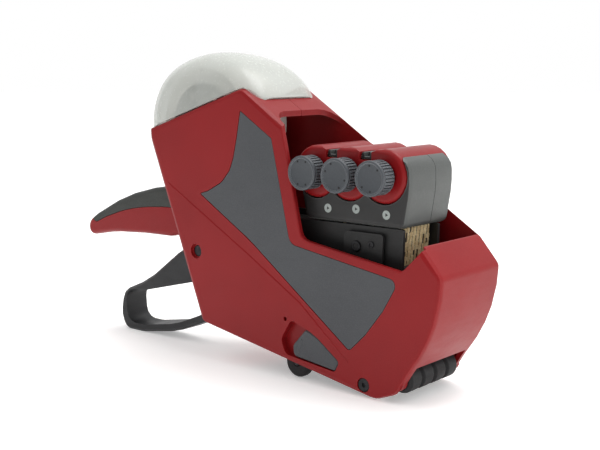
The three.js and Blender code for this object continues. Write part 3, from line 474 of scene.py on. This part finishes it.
def brushedMetal(name, look):
    material, tree, shader, place = startMaterial(name)
    tarnish = noiseNode(tree, place, look["tarnishScale"], 4, 0.6)
    tone = mixColours(tree, rangeNode(tree, tarnish, 0.38, 0.68, 0, 1), look["colour"], look["tarnish"])
    tree.links.new(tone, shader.inputs["Base Color"])
    strokes = noiseNode(tree, place, look["strokeScale"], 2, 0.5, look["strokes"])
    tree.links.new(rangeNode(tree, strokes, 0.3, 0.7, *look["roughness"]), shader.inputs["Roughness"])
    tree.links.new(bumpNode(tree, strokes, strokeDepth, 0.4), shader.inputs["Normal"])
    shader.inputs["Metallic"].default_value = look["metal"]
    return material


materials["clearDome"] = clearDomePlastic()
materials["labelPaper"] = labelPaper()
for metalName, metalLook in metals.items():
    materials[metalName] = brushedMetal(metalName, metalLook)
print("materials made:", len(materials))


# Floor
floorMesh = bmesh.new()
bmesh.ops.create_circle(floorMesh, cap_ends=True, segments=studio["floorSides"], radius=studio["floorRadius"])
floorData = bpy.data.meshes.new("studioFloor")
floorMesh.to_mesh(floorData)
floorMesh.free()
floor = bpy.data.objects.new("studioFloor", floorData)
scene.collection.objects.link(floor)
floorMaterial, floorTree, floorShader, floorPlace = startMaterial("paleFloor")
floorNoise = noiseNode(floorTree, floorPlace, studio["floorPatchScale"], 3)
floorPatch = tuple(studio["floorPatches"] * part for part in studio["floorColour"])
floorTone = mixColours(floorTree, floorNoise, studio["floorColour"], floorPatch)
floorTree.links.new(floorTone, floorShader.inputs["Base Color"])
floorShader.inputs["Roughness"].default_value = studio["floorRoughness"]
floorShader.inputs["Emission Color"].default_value = (1, 1, 1, 1)
floorShader.inputs["Emission Strength"].default_value = studio["floorGlow"]
floorData.materials.append(floorMaterial)


# What every piece shares: lengths in mm, angles in degrees
making = {
    "bevelSegments": 2,
    "shadingWeight": 50,
    "copyJoins": 0.004,
    "copyFlattens": 1.2,
    "joins": 0.002,
}


# A finish may be a list, for a piece with faces of more than one material
def addPiece(name, work, body, finish, replaced=(), bevel=0.0, bevelAngle=32):
    data = bpy.data.meshes.new(name)
    for face in work.faces:
        face.smooth = True
    for line in work.edges:
        if len(line.link_faces) == 2 and line.calc_face_angle(0) > math.radians(bevelAngle):
            line.smooth = False
    work.to_mesh(data)
    work.free()
    piece = bpy.data.objects.new(name, data)
    scene.collection.objects.link(piece)
    for one in (finish if isinstance(finish, list) else [finish]):
        data.materials.append(materials[one])
    if bevel:
        for line in data.edges:
            line.use_edge_sharp = False
        softener = piece.modifiers.new("softEdges", "BEVEL")
        softener.width = bevel * mm
        softener.segments = making["bevelSegments"]
        softener.limit_method = "ANGLE"
        softener.angle_limit = math.radians(bevelAngle)
        softener.use_clamp_overlap = True
        softener.miter_outer = "MITER_ARC"
        shading = piece.modifiers.new("evenShading", "WEIGHTED_NORMAL")
        shading.keep_sharp = True
        shading.weight = making["shadingWeight"]
    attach(piece, body)
    if replaced:
        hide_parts(*replaced)
    return piece


# A copy of a CAD mesh with its triangles merged and its flat faces whole
def mergedCopy(nodeName):
    work = bmesh.new()
    work.from_mesh(frame["nodes"][nodeName].data)
    bmesh.ops.remove_doubles(work, verts=work.verts, dist=making["copyJoins"] * mm)
    bmesh.ops.dissolve_limit(
        work, angle_limit=math.radians(making["copyFlattens"]), use_dissolve_boundaries=False,
        verts=work.verts, edges=work.edges, delimit=set(),
    )
    for layer in list(work.loops.layers.uv.values()):
        work.loops.layers.uv.remove(layer)
    for face in work.faces:
        face.material_index = 0
    return work


bodyOf = {name: node["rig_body"] for name, node in frame["nodes"].items()}


# Moulded and machined parts whose CAD shape is right: copied, given soft edges and a finish
softened = {
    # CAD node: finish, edge radius in mm, angle that counts as an edge, slot
    "housing_right": ("redPlastic", 0.7, 32, "red_plastic"),
    "housing_left": ("redPlastic", 0.7, 32, "red_plastic"),
    "side_panel_right": ("panelGrey", 0.4, 32, "grey_plastic"),
    "side_panel_left": ("panelGrey", 0.4, 32, "grey_plastic"),
    "handle_shell": ("redPlastic", 0.8, 32, "red_plastic"),
    "handle_grip": ("softGrip", 0.5, 32, "soft_grip"),
    "trigger_lever": ("triggerGrey", 0.8, 32, "charcoal_plastic"),
    "head_carrier": ("headCharcoal", 0.35, 40, "charcoal_plastic"),
    "head_casing_right": ("headGrey", 0.6, 32, "charcoal_plastic"),
    "head_casing_left": ("headGrey", 0.6, 32, "charcoal_plastic"),
    "head_cap": ("redPlastic", 0.45, 40, "red_plastic"),
    "digit_window_1": ("headGrey", 0.25, 32, "grey_plastic"),
    "digit_window_2": ("headGrey", 0.25, 32, "grey_plastic"),
    "latch_button_right": ("panelGrey", 0.35, 32, "grey_plastic"),
    "latch_button_left": ("panelGrey", 0.35, 32, "grey_plastic"),
    "guide_wheel_right": ("blackRubber", 0.4, 40, "dark_rubber"),
    "guide_wheel_left": ("blackRubber", 0.4, 40, "dark_rubber"),
    "applicator_roller": ("blackRubber", 0.4, 40, "dark_rubber"),
    "bottom_flap": ("headCharcoal", 0.3, 40, "charcoal_plastic"),
    "flap_hinge_screw": ("blackSteel", 0.2, 40, "steel"),
    "trigger_pivot_pin": ("blackSteel", 0.2, 40, "steel"),
    "cover_hinge_pin": ("steel", 0.2, 40, "steel"),
    "handle_bolt": ("steel", 0.2, 40, "steel"),
    "guide_axle": ("blackSteel", 0.2, 40, "steel"),
    "ink_arm": ("headCharcoal", 0.25, 40, "charcoal_plastic"),
    "feed_wheel": ("nylon", 0.2, 40, "grey_plastic"),
    "drive_link": ("steel", 0.3, 40, "steel"),
    "feed_pawl": ("steel", 0.2, 40, "steel"),
    "roll_core": ("nylon", 0.2, 40, "paper"),
    "roll_hub_right": ("headCharcoal", 0.2, 40, "charcoal_plastic"),
    "roll_hub_left": ("headCharcoal", 0.2, 40, "charcoal_plastic"),
}

# Edges rounded over further than the rest: those in the plane y = face, within reach of an outline in x and z
roundedOver = {
    "housing_right": {
        "face": -26.0,
        "outline": ((37.5, 129.0), (50.0, 71.4), (108.6, 62.6), (119.6, 73.7)),
        "reach": 3.2,
        "radius": 1.7,
        "segments": 4,
        "clamp": True,
    },
    "head_cap": {
        "face": -18.0,
        "outline": ((30.0, 104.0), (112.0, 104.0)),
        "reach": 18.0,
        "radius": 2.4,
        "segments": 5,
        "clamp": False,
    },
}
notRounded = ((57.2, 67.2, 100.0), (77.2, 87.2, 100.0))  # beside the digit windows: x from, x to, z above
inPlane = 0.05
leastAngle = 1  # radians between the faces beside an edge


def nearOutline(spot, outline, reach):
    here = Vector((spot.x / mm, spot.z / mm))
    for start, end in zip(outline, outline[1:]):
        run = Vector(end) - Vector(start)
        share = max(0.0, min(1.0, (here - Vector(start)).dot(run) / run.length_squared))
        if math.dist(here, Vector(start) + share * run) < reach:
            return True
    return False


def besideWindow(spot):
    return any(low < spot.x / mm < high and spot.z / mm > above for low, high, above in notRounded)


def roundOver(work, look):
    edges = []
    for edge in work.edges:
        ends = [end.co for end in edge.verts]
        flat = all(abs(end.y / mm - look["face"]) < inPlane for end in ends)
        if not flat or any(besideWindow(end) for end in ends):
            continue
        near = all(nearOutline(end, look["outline"], look["reach"]) for end in ends)
        if near and edge.calc_face_angle(0) > leastAngle:
            edges.append(edge)
    bmesh.ops.bevel(
        work, geom=edges, offset=look["radius"] * mm, offset_type="OFFSET", affect="EDGES",
        segments=look["segments"], profile=0.5, clamp_overlap=look["clamp"], material=-1,
    )


for nodeName, (finish, edge, angle, slot) in softened.items():
    copied = mergedCopy(nodeName)
    if nodeName in roundedOver:
        roundOver(copied, roundedOver[nodeName])
    addPiece(
        nodeName + "_finished", copied, bodyOf[nodeName], finish,
        [nodeName], bevel=edge, bevelAngle=angle,
    )
print("softened copies:", len(softened))


# A profile of (radius, distance along y) in mm, spun once round the y axis
def spunProfile(work, profile, steps):
    corners = [work.verts.new((radius, along, 0)) for radius, along in profile]
    lines = [work.edges.new(pair) for pair in zip(corners, corners[1:])]
    bmesh.ops.spin(
        work, geom=corners + lines, cent=(0, 0, 0), axis=(0, 1, 0),
        angle=math.tau, steps=steps, use_merge=True, use_duplicate=False,
    )
    bmesh.ops.remove_doubles(work, verts=work.verts, dist=making["joins"])
    bmesh.ops.recalc_face_normals(work, faces=work.faces)


# Turns a mesh made in mm into metres and moves it to its centre
def placed(work, centre=(0, 0, 0)):
    bmesh.ops.scale(work, vec=(mm, mm, mm), verts=work.verts)
    bmesh.ops.translate(work, vec=centre, verts=work.verts)
    return work


def turnAbout(axis, degrees, size=4):
    return Matrix.Rotation(math.radians(degrees), size, axis)


# Selector knobs: dished face with a raised rim and four dots, a smooth collar and a fluted grip
knob = {
    "radius": 8.3,
    "rimWidth": 0.75,
    "rimStep": 0.45,
    "dish": 0.6,
    "collarLength": 1.7,
    "seamDepth": 0.7,
    "seamEnd": 0.55,
    "footChamfer": 0.7,
    "flutes": 32,
    "stepsPerFlute": 4,
    "fluteSteps": (0, 1),  # those of the four that are sunk
    "fluteDepth": 0.85,
    "fluteEdge": 0.1,
    "fluteFlatness": 0.4,
    "dotRadius": 0.55,
    "dotTaper": 0.8,
    "dotDepth": 0.14,
    "dotProud": 0.03,
    "dotSides": 14,
    "dotCircle": 5.9,
    "dotSpread": 24,
    "turns": (0, 48, -22),
    "bevelAngle": 38,
}


def knobProfile(length):
    outer, collar, dish = knob["radius"], knob["collarLength"], knob["dish"]
    rim = outer - knob["rimStep"]
    inner = rim - knob["rimWidth"]
    seam = outer - knob["seamDepth"]
    dished = [(0, dish + 0.06), (inner - 0.5, dish), (inner - 0.12, dish - 0.08), (inner, 0.12)]
    raised = [(inner + 0.2, 0), (rim - 0.1, 0), (rim + 0.25, 0.16), (outer - 0.02, 0.5)]
    collared = [(outer, collar - 0.2), (outer - 0.12, collar), (seam, collar + 0.05), (seam, collar + 0.4)]
    grip = [(outer - 0.3, collar + knob["seamEnd"]), (outer - 0.12, length - knob["footChamfer"])]
    return dished + raised + collared + grip + [(outer - 0.8, length), (0, length)]


def sinkFlutes(work, length):
    around = knob["flutes"] * knob["stepsPerFlute"]
    start, end = knob["collarLength"] + knob["seamEnd"] + 0.05, length - knob["footChamfer"] - 0.05
    sunk = []
    for face in work.faces:
        middle = face.calc_center_median()
        if start < middle.y < end and abs(face.normal.y) < knob["fluteFlatness"]:
            step = round((math.atan2(middle.z, middle.x) / math.tau % 1) * around - 0.5)
            if step % knob["stepsPerFlute"] in knob["fluteSteps"]:
                sunk.append(face)
    bmesh.ops.inset_region(
        work, faces=sunk, thickness=knob["fluteEdge"], depth=-knob["fluteDepth"],
        use_even_offset=True, use_boundary=True,
    )


def makeKnob(number):
    low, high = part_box(f"selector_knob_{number}")
    centre = Vector(((low.x + high.x) / 2, low.y, (low.z + high.z) / 2))
    length = (high.y - low.y) / mm
    turn = knob["turns"][number - 1]
    work = bmesh.new()
    spunProfile(work, knobProfile(length), knob["flutes"] * knob["stepsPerFlute"])
    sinkFlutes(work, length)
    bmesh.ops.rotate(work, cent=(0, 0, 0), matrix=turnAbout("Y", turn, 3), verts=work.verts)
    addPiece(
        f"selector_knob_{number}_fluted", placed(work, centre), f"knob_{number}", "knobGrey",
        [f"selector_knob_{number}"], bevelAngle=knob["bevelAngle"],
    )
    dots = bmesh.new()
    for side in (90, 270):
        for spread in (-knob["dotSpread"], knob["dotSpread"]):
            angle = math.radians(side + spread + turn)
            spot = Vector((math.cos(angle), 0, math.sin(angle))) * knob["dotCircle"]
            spot.y = knob["dish"] - knob["dotProud"]
            bmesh.ops.create_cone(
                dots, cap_ends=True, segments=knob["dotSides"], radius1=knob["dotRadius"],
                radius2=knob["dotRadius"] * knob["dotTaper"], depth=knob["dotDepth"],
                matrix=Matrix.Translation(spot) @ turnAbout("X", 90),
            )
    addPiece(
        f"knob_dots_{number}", placed(dots, centre), f"knob_{number}", "blackRubber",
        bevelAngle=knob["bevelAngle"],
    )


for number in (1, 2, 3):
    makeKnob(number)
print("selector knobs made")


# Type bands: nine belts to a pack, each with raised blank type
typeBands = {
    "count": 9,
    "pitch": 2.9,
    "width": 2.5,
    "wheelRadius": 8.35,
    "anvilRadius": 2.05,
    "belt": 0.5,
    "typeHeight": (0.34, 0.58),
    "spacing": 2.35,
    "hollowShare": 0.55,
    "blankShare": 0.14,
    "joinedShare": 0.4,
    "rows": (0.07, 0.43, 0.43, 0.07),  # shares of a belt's width
    "typeShare": 0.36,
    "typeEdge": 0.3,
    "joinedEdge": 0.16,
    "hollowEdge": 0.2,
    "hollowDepth": 0.3,
    "bevelAngle": 40,
    "anvils": ((72.0, 28.6), (81.0, 28.6), (90.0, 28.6)),
    "seed": 11,
}
draw = random.Random(typeBands["seed"])


# The closed line of a belt round its wheel and its anvil, in even steps
def beltLine(wheel, anvil, wheelRadius, anvilRadius, spacing):
    reach = math.dist(wheel, anvil)
    heading = math.atan2(anvil[1] - wheel[1], anvil[0] - wheel[0])
    lean = math.acos((wheelRadius - anvilRadius) / reach)
    spots = []
    for centre, radius, start, sweep in (
        (wheel, wheelRadius, heading + lean, math.tau - 2 * lean),
        (anvil, anvilRadius, heading - lean, 2 * lean),
    ):
        steps = max(4, round(radius * sweep / spacing))
        arc = [start + sweep * step / steps for step in range(steps + 1)]
        spots.append([(centre[0] + radius * math.cos(a), centre[1] + radius * math.sin(a)) for a in arc])
    line = []
    for arc, following in ((spots[0], spots[1]), (spots[1], spots[0])):
        line += arc
        start, end = Vector(arc[-1]), Vector(following[0])
        steps = round((end - start).length / spacing)
        line += [tuple(start.lerp(end, step / steps)) for step in range(1, steps)]
    return line


# One bare belt: a ring of the line's points, widened row by row and thickened
def makeBelt(line, start, middle):
    strip = bmesh.new()
    ring = [strip.verts.new((x, start, z)) for x, z in line]
    edges = [strip.edges.new(pair) for pair in zip(ring, ring[1:] + ring[:1])]
    for share in typeBands["rows"]:
        grown = bmesh.ops.extrude_edge_only(strip, edges=edges)["geom"]
        corners = [part for part in grown if isinstance(part, bmesh.types.BMVert)]
        bmesh.ops.translate(strip, vec=(0, share * typeBands["width"], 0), verts=corners)
        edges = [part for part in grown if isinstance(part, bmesh.types.BMEdge)]
    bmesh.ops.recalc_face_normals(strip, faces=strip.faces)
    outer = [face for face in strip.faces if face.normal.dot(face.calc_center_median() - middle) > 0]
    if len(outer) < len(strip.faces) / 2:
        bmesh.ops.reverse_faces(strip, faces=strip.faces)
    bmesh.ops.solidify(strip, geom=strip.faces[:], thickness=typeBands["belt"])
    return strip


# Raised type on a belt: some places stay blank, some types run together and some are hollow
def raiseType(strip, start, middle):
    width = typeBands["width"]
    raised = []
    for face in strip.faces:
        centre = face.calc_center_median()
        outwards = abs(face.normal.y) < 0.5 and face.normal.dot(centre - middle) > 0
        if outwards and abs(centre.y - start - width / 2) < typeBands["typeShare"] * width:
            raised.append(face)
    raised.sort(key=lambda face: tuple(round(part, 2) for part in face.calc_center_median()))
    raised = [face for face in raised if draw.random() > typeBands["blankShare"]]
    joined = [face for face in raised if draw.random() < typeBands["joinedShare"]]
    for face in strip.faces:
        face.material_index = 1
    for face in raised:
        face.material_index = 0
    for face in raised:
        edge = typeBands["joinedEdge"] if face in joined else typeBands["typeEdge"]
        bmesh.ops.inset_individual(
            strip, faces=[face], thickness=edge, depth=draw.uniform(*typeBands["typeHeight"]),
            use_even_offset=True,
        )
        if draw.random() < typeBands["hollowShare"]:
            bmesh.ops.inset_individual(
                strip, faces=[face], thickness=typeBands["hollowEdge"], depth=-typeBands["hollowDepth"],
                use_even_offset=True,
            )


def makeBands(number):
    low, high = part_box(f"selector_knob_{number}")
    wheel = ((low.x + high.x) / 2 / mm, (low.z + high.z) / 2 / mm)
    anvil = typeBands["anvils"][number - 1]
    belt = typeBands["belt"]
    line = beltLine(
        wheel, anvil, typeBands["wheelRadius"] + belt, typeBands["anvilRadius"] + belt, typeBands["spacing"],
    )
    middle = Vector(((wheel[0] + anvil[0]) / 2, 0, (wheel[1] + anvil[1]) / 2))
    work = bmesh.new()
    for lane in range(typeBands["count"]):
        start = (lane - (typeBands["count"] - 1) / 2) * typeBands["pitch"] - typeBands["width"] / 2
        strip = makeBelt(line, start, middle)
        raiseType(strip, start, middle)
        data = bpy.data.meshes.new("lane")
        strip.to_mesh(data)
        strip.free()
        work.from_mesh(data)
        bpy.data.meshes.remove(data)
    addPiece(
        f"type_bands_{number}_belts", placed(work), "head", ["typeGold", "beltDark"],
        [f"type_bands_{number}"], bevelAngle=typeBands["bevelAngle"],
    )


for number in (1, 2, 3):
    makeBands(number)
print("type bands made")


# Label roll: wound layers on the sides and single labels round the outside
roll = {
    "layers": 15,
    "layerStep": 0.16,
    "layerSlope": 0.02,
    "coreGap": 0.35,
    "labels": 15,
    "stepsPerLabel": 8,
    "labelGap": 0.8,
    "labelHeight": 0.14,
    "edge": 1.4,
    "rim": 0.1,
    "bevelAngle": 50,
}


def rollProfile(inner, outer, half):
    layer = (outer - inner) / roll["layers"]
    profile = [(inner, 0)]
    for turn in range(roll["layers"]):
        height = half - roll["layerStep"] * (turn % 2)
        start, end = inner + layer * turn, inner + layer * (turn + 1)
        profile += [(start + roll["layerSlope"], height), (end - roll["layerSlope"], height)]
    return profile + [(outer, half - roll["rim"]), (outer, half - roll["edge"]), (outer, 0)]


def makeRoll():
    low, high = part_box("label_roll")
    coreLow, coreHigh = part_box("roll_core")
    outer = (high.x - low.x) / 2 / mm - roll["labelHeight"]
    half = (high.y - low.y) / 2 / mm
    inner = (coreHigh.x - coreLow.x) / 2 / mm + roll["coreGap"]
    steps = roll["labels"] * roll["stepsPerLabel"]
    work = bmesh.new()
    spunProfile(work, rollProfile(inner, outer, half), steps)
    bmesh.ops.mirror(
        work, geom=work.faces[:] + work.verts[:] + work.edges[:], axis="Y", merge_dist=making["joins"],
    )
    bmesh.ops.remove_doubles(work, verts=work.verts, dist=making["joins"])
    bmesh.ops.recalc_face_normals(work, faces=work.faces)
    labels = [[] for label in range(roll["labels"])]
    for face in work.faces:
        middle = face.calc_center_median()
        if math.hypot(middle.x, middle.z) > outer - 0.05 and abs(middle.y) < half - 1:
            step = int((math.atan2(middle.z, middle.x) / math.tau % 1) * steps)
            labels[step // roll["stepsPerLabel"]].append(face)
    for faces in labels:
        bmesh.ops.inset_region(
            work, faces=faces, thickness=roll["labelGap"] / 2, depth=roll["labelHeight"],
            use_even_offset=True, use_boundary=True,
        )
    addPiece(
        "label_roll_wound", placed(work, (low + high) / 2), "roll", "labelPaper", ["label_roll"],
        bevelAngle=roll["bevelAngle"],
    )


makeRoll()
print("label roll made")


# Roll cover: a thin clear shell, rounder over its crown than at its foot, cut off along its peaked seat
cover = {
    "centre": (-22.0, 124.0),
    "rear": 36.4,
    "front": 46.0,
    "height": 36.9,
    "half": 25.8,
    "crown": 2.7,  # 2 is an ellipsoid, and more is squarer
    "foot": 7.5,
    "footSpread": 1.6,
    "steps": (128, 56),
    "wall": 1.5,
    "clear": 0.12,
    "seat": ((-56.5, 120.8), (10.5, 143.3), (119.2, 74.3)),
    "frontEnd": 20.4,
    "bevelAngle": 50,
}


def squareOff(work):
    for corner in work.verts:
        spot = corner.co
        angle = math.atan2(spot.z, spot.x)
        footward = abs(math.cos(angle)) ** cover["footSpread"]
        power = 2 / (cover["crown"] + (cover["foot"] - cover["crown"]) * footward)
        reach = cover["front"] if spot.x > 0 else cover["rear"]
        grown = max(math.hypot(spot.x, spot.z), 1e-9) ** power
        corner.co = (
            cover["centre"][0] + reach * grown * math.cos(angle),
            math.copysign(cover["half"] * abs(spot.y) ** power, spot.y),
            cover["centre"][1] + cover["height"] * grown * math.sin(angle),
        )


def cutAlong(work, point, facing):
    bmesh.ops.bisect_plane(
        work, geom=work.verts[:] + work.edges[:] + work.faces[:], dist=0.001, plane_co=point, plane_no=facing,
    )


def belowSeat(face):
    middle = face.calc_center_median()
    rear, peak, front = cover["seat"]
    (x0, z0), (x1, z1) = (rear, peak) if middle.x < peak[0] else (peak, front)
    seat = z0 + (z1 - z0) * (middle.x - x0) / (x1 - x0) + cover["clear"]
    return middle.z < seat or middle.x > cover["frontEnd"]


def makeCover():
    work = bmesh.new()
    around, along = cover["steps"]
    bmesh.ops.create_uvsphere(work, u_segments=around, v_segments=along, radius=1)
    bmesh.ops.rotate(work, cent=(0, 0, 0), matrix=turnAbout("X", 90, 3), verts=work.verts)
    squareOff(work)
    for (x0, z0), (x1, z1) in zip(cover["seat"], cover["seat"][1:]):
        cutAlong(work, (x0, 0, z0 + cover["clear"]), (z0 - z1, 0, x1 - x0))
    for x in (cover["seat"][1][0], cover["frontEnd"]):
        cutAlong(work, (x, 0, 0), (1, 0, 0))
    bmesh.ops.delete(work, geom=[face for face in work.faces if belowSeat(face)], context="FACES")
    bmesh.ops.remove_doubles(work, verts=work.verts, dist=making["joins"])
    bmesh.ops.recalc_face_normals(work, faces=work.faces)
    top = max(work.faces, key=lambda face: face.calc_center_median().z)
    if top.normal.z < 0:
        bmesh.ops.reverse_faces(work, faces=work.faces[:])
    bmesh.ops.solidify(work, geom=work.faces[:], thickness=cover["wall"])
    addPiece(
        "roll_cover_shell", placed(work), "cover", "clearDome", ["roll_cover"],
        bevelAngle=cover["bevelAngle"],
    )


makeCover()
print("roll cover made")


# Crease: a low ridge down the near side of the housing, under the inlaid panel
crease = {
    "line": ((-42.4, 92.5), (-18.6, 79.1), (16.6, 59.4), (49.4, 40.0), (79.0, 15.6)),
    "face": -25.97,
    "sunk": 0.2,
    "height": 0.3,
    "below": 1.5,
    "above": 0.75,
    "bevelAngle": 70,
}


def makeCrease():
    x, z = crease["line"][0]
    face = crease["face"]
    work = bmesh.new()
    corners = [
        work.verts.new((x, face + crease["sunk"], z - crease["below"])),
        work.verts.new((x, face - crease["height"], z)),
        work.verts.new((x, face + crease["sunk"], z + crease["above"])),
    ]
    end = [work.faces.new(corners)]
    for (x0, z0), (x1, z1) in zip(crease["line"], crease["line"][1:]):
        grown = bmesh.ops.extrude_face_region(work, geom=end)["geom"]
        end = [part for part in grown if isinstance(part, bmesh.types.BMFace)]
        moved = [part for part in grown if isinstance(part, bmesh.types.BMVert)]
        bmesh.ops.translate(work, vec=(x1 - x0, 0, z1 - z0), verts=moved)
    bmesh.ops.recalc_face_normals(work, faces=work.faces)
    addPiece(
        "side_crease_right", placed(work), "body", "redPlastic",
        bevelAngle=crease["bevelAngle"],
    )


makeCrease()
print("crease made")


# Fixings by the ink arm's near plate: a dished cap over the stud that the arm swings on, and a ringed pin
fixings = {
    "arm_swing_screw": {"at": (77.0, 70.0), "radius": 2.7, "proud": 0.9, "body": "head"},
    "arm_ringed_pin": {"at": (85.6, 71.6), "radius": 1.7, "proud": 0.6, "body": "ink_arm"},
}
# the profile of both, as shares of the radius and of how far it stands proud
fixingProfile = ((0, 0.35), (0.42, 0.35), (0.5, 0.92), (0.62, 1), (0.85, 1), (0.97, 0.8), (1, 0.5))
fixingLook = {"off": 0.05, "steps": 36, "bevelAngle": 35}


def makeFixings():
    low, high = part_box("ink_arm")
    for name, look in fixings.items():
        radius, off = look["radius"], fixingLook["off"]
        profile = [(radius * out, -look["proud"] * up) for out, up in fixingProfile]
        work = bmesh.new()
        spunProfile(work, profile + [(radius, -off), (0, -off)], fixingLook["steps"])
        x, z = look["at"]
        addPiece(
            name, placed(work, Vector((x, low.y / mm, z)) * mm), look["body"], "blackSteel",
            bevelAngle=fixingLook["bevelAngle"],
        )


makeFixings()
print("fixings made:", len(fixings))


# Marks on the head: three plain pale discs, each with a plain triangle
marks = {
    "spots": ((59.8, 86.6), (76.6, 87.6), (94.1, 86.3)),
    "radius": 2.15,
    "sides": 28,
    "off": 0.02,
    "rimWidth": 0.35,
    "rimHeight": 0.06,
    "slope": 0.5,
    "slopeDepth": 0.05,
    "arrow": 0.95,
    "arrowTaper": 0.9,
    "arrowDepth": 0.1,
    "arrowOff": 0.06,
    "arrowTurn": 30,
    "bevelAngle": 60,
}


def makeMarks():
    low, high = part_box("head_casing_right")
    face = low.y / mm
    work = bmesh.new()
    for x, z in marks["spots"]:
        made = bmesh.ops.create_circle(
            work, cap_ends=True, segments=marks["sides"], radius=marks["radius"],
            matrix=Matrix.Translation((x, face - marks["off"], z)) @ turnAbout("X", 90),
        )
        disc = [part for part in work.faces if part.verts[0] in made["verts"]]
        bmesh.ops.inset_region(work, faces=disc, thickness=marks["rimWidth"], depth=marks["rimHeight"])
        bmesh.ops.inset_region(work, faces=disc, thickness=marks["slope"], depth=-marks["slopeDepth"])
    bmesh.ops.recalc_face_normals(work, faces=work.faces)
    addPiece("head_marks", placed(work), "head", "markWhite", bevelAngle=marks["bevelAngle"])
    arrows = bmesh.new()
    for x, z in marks["spots"]:
        bmesh.ops.create_cone(
            arrows, cap_ends=True, segments=3, radius1=marks["arrow"],
            radius2=marks["arrow"] * marks["arrowTaper"], depth=marks["arrowDepth"],
            matrix=Matrix.Translation((x, face - marks["arrowOff"], z)) @ turnAbout("X", 90)
            @ turnAbout("Z", marks["arrowTurn"]),
        )
    addPiece(
        "head_mark_arrows", placed(arrows), "head", "headCharcoal",
        bevelAngle=marks["bevelAngle"],
    )


makeMarks()
print("marks made:", len(marks["spots"]))


# The rest of the CAD parts keep their shape and take the finish of their slot
leftFinish = {
    "steel": "steel",
    "dark_rubber": "blackRubber",
    "charcoal_plastic": "headCharcoal",
    "grey_plastic": "knobGrey",
    "red_plastic": "redPlastic",
    "soft_grip": "softGrip",
    "type_brass": "typeGold",
    "ink_felt": "inkFelt",
    "paper": "labelPaper",
    "clear_plastic": "clearDome",
}
kept = 0
for name, node in frame["nodes"].items():
    if node.hide_render:
        continue
    slot = node.data.materials[0].name
    node.data.materials.clear()
    node.data.materials.append(materials[leftFinish[slot]])
    kept += 1
print("CAD parts kept with a new finish:", kept)
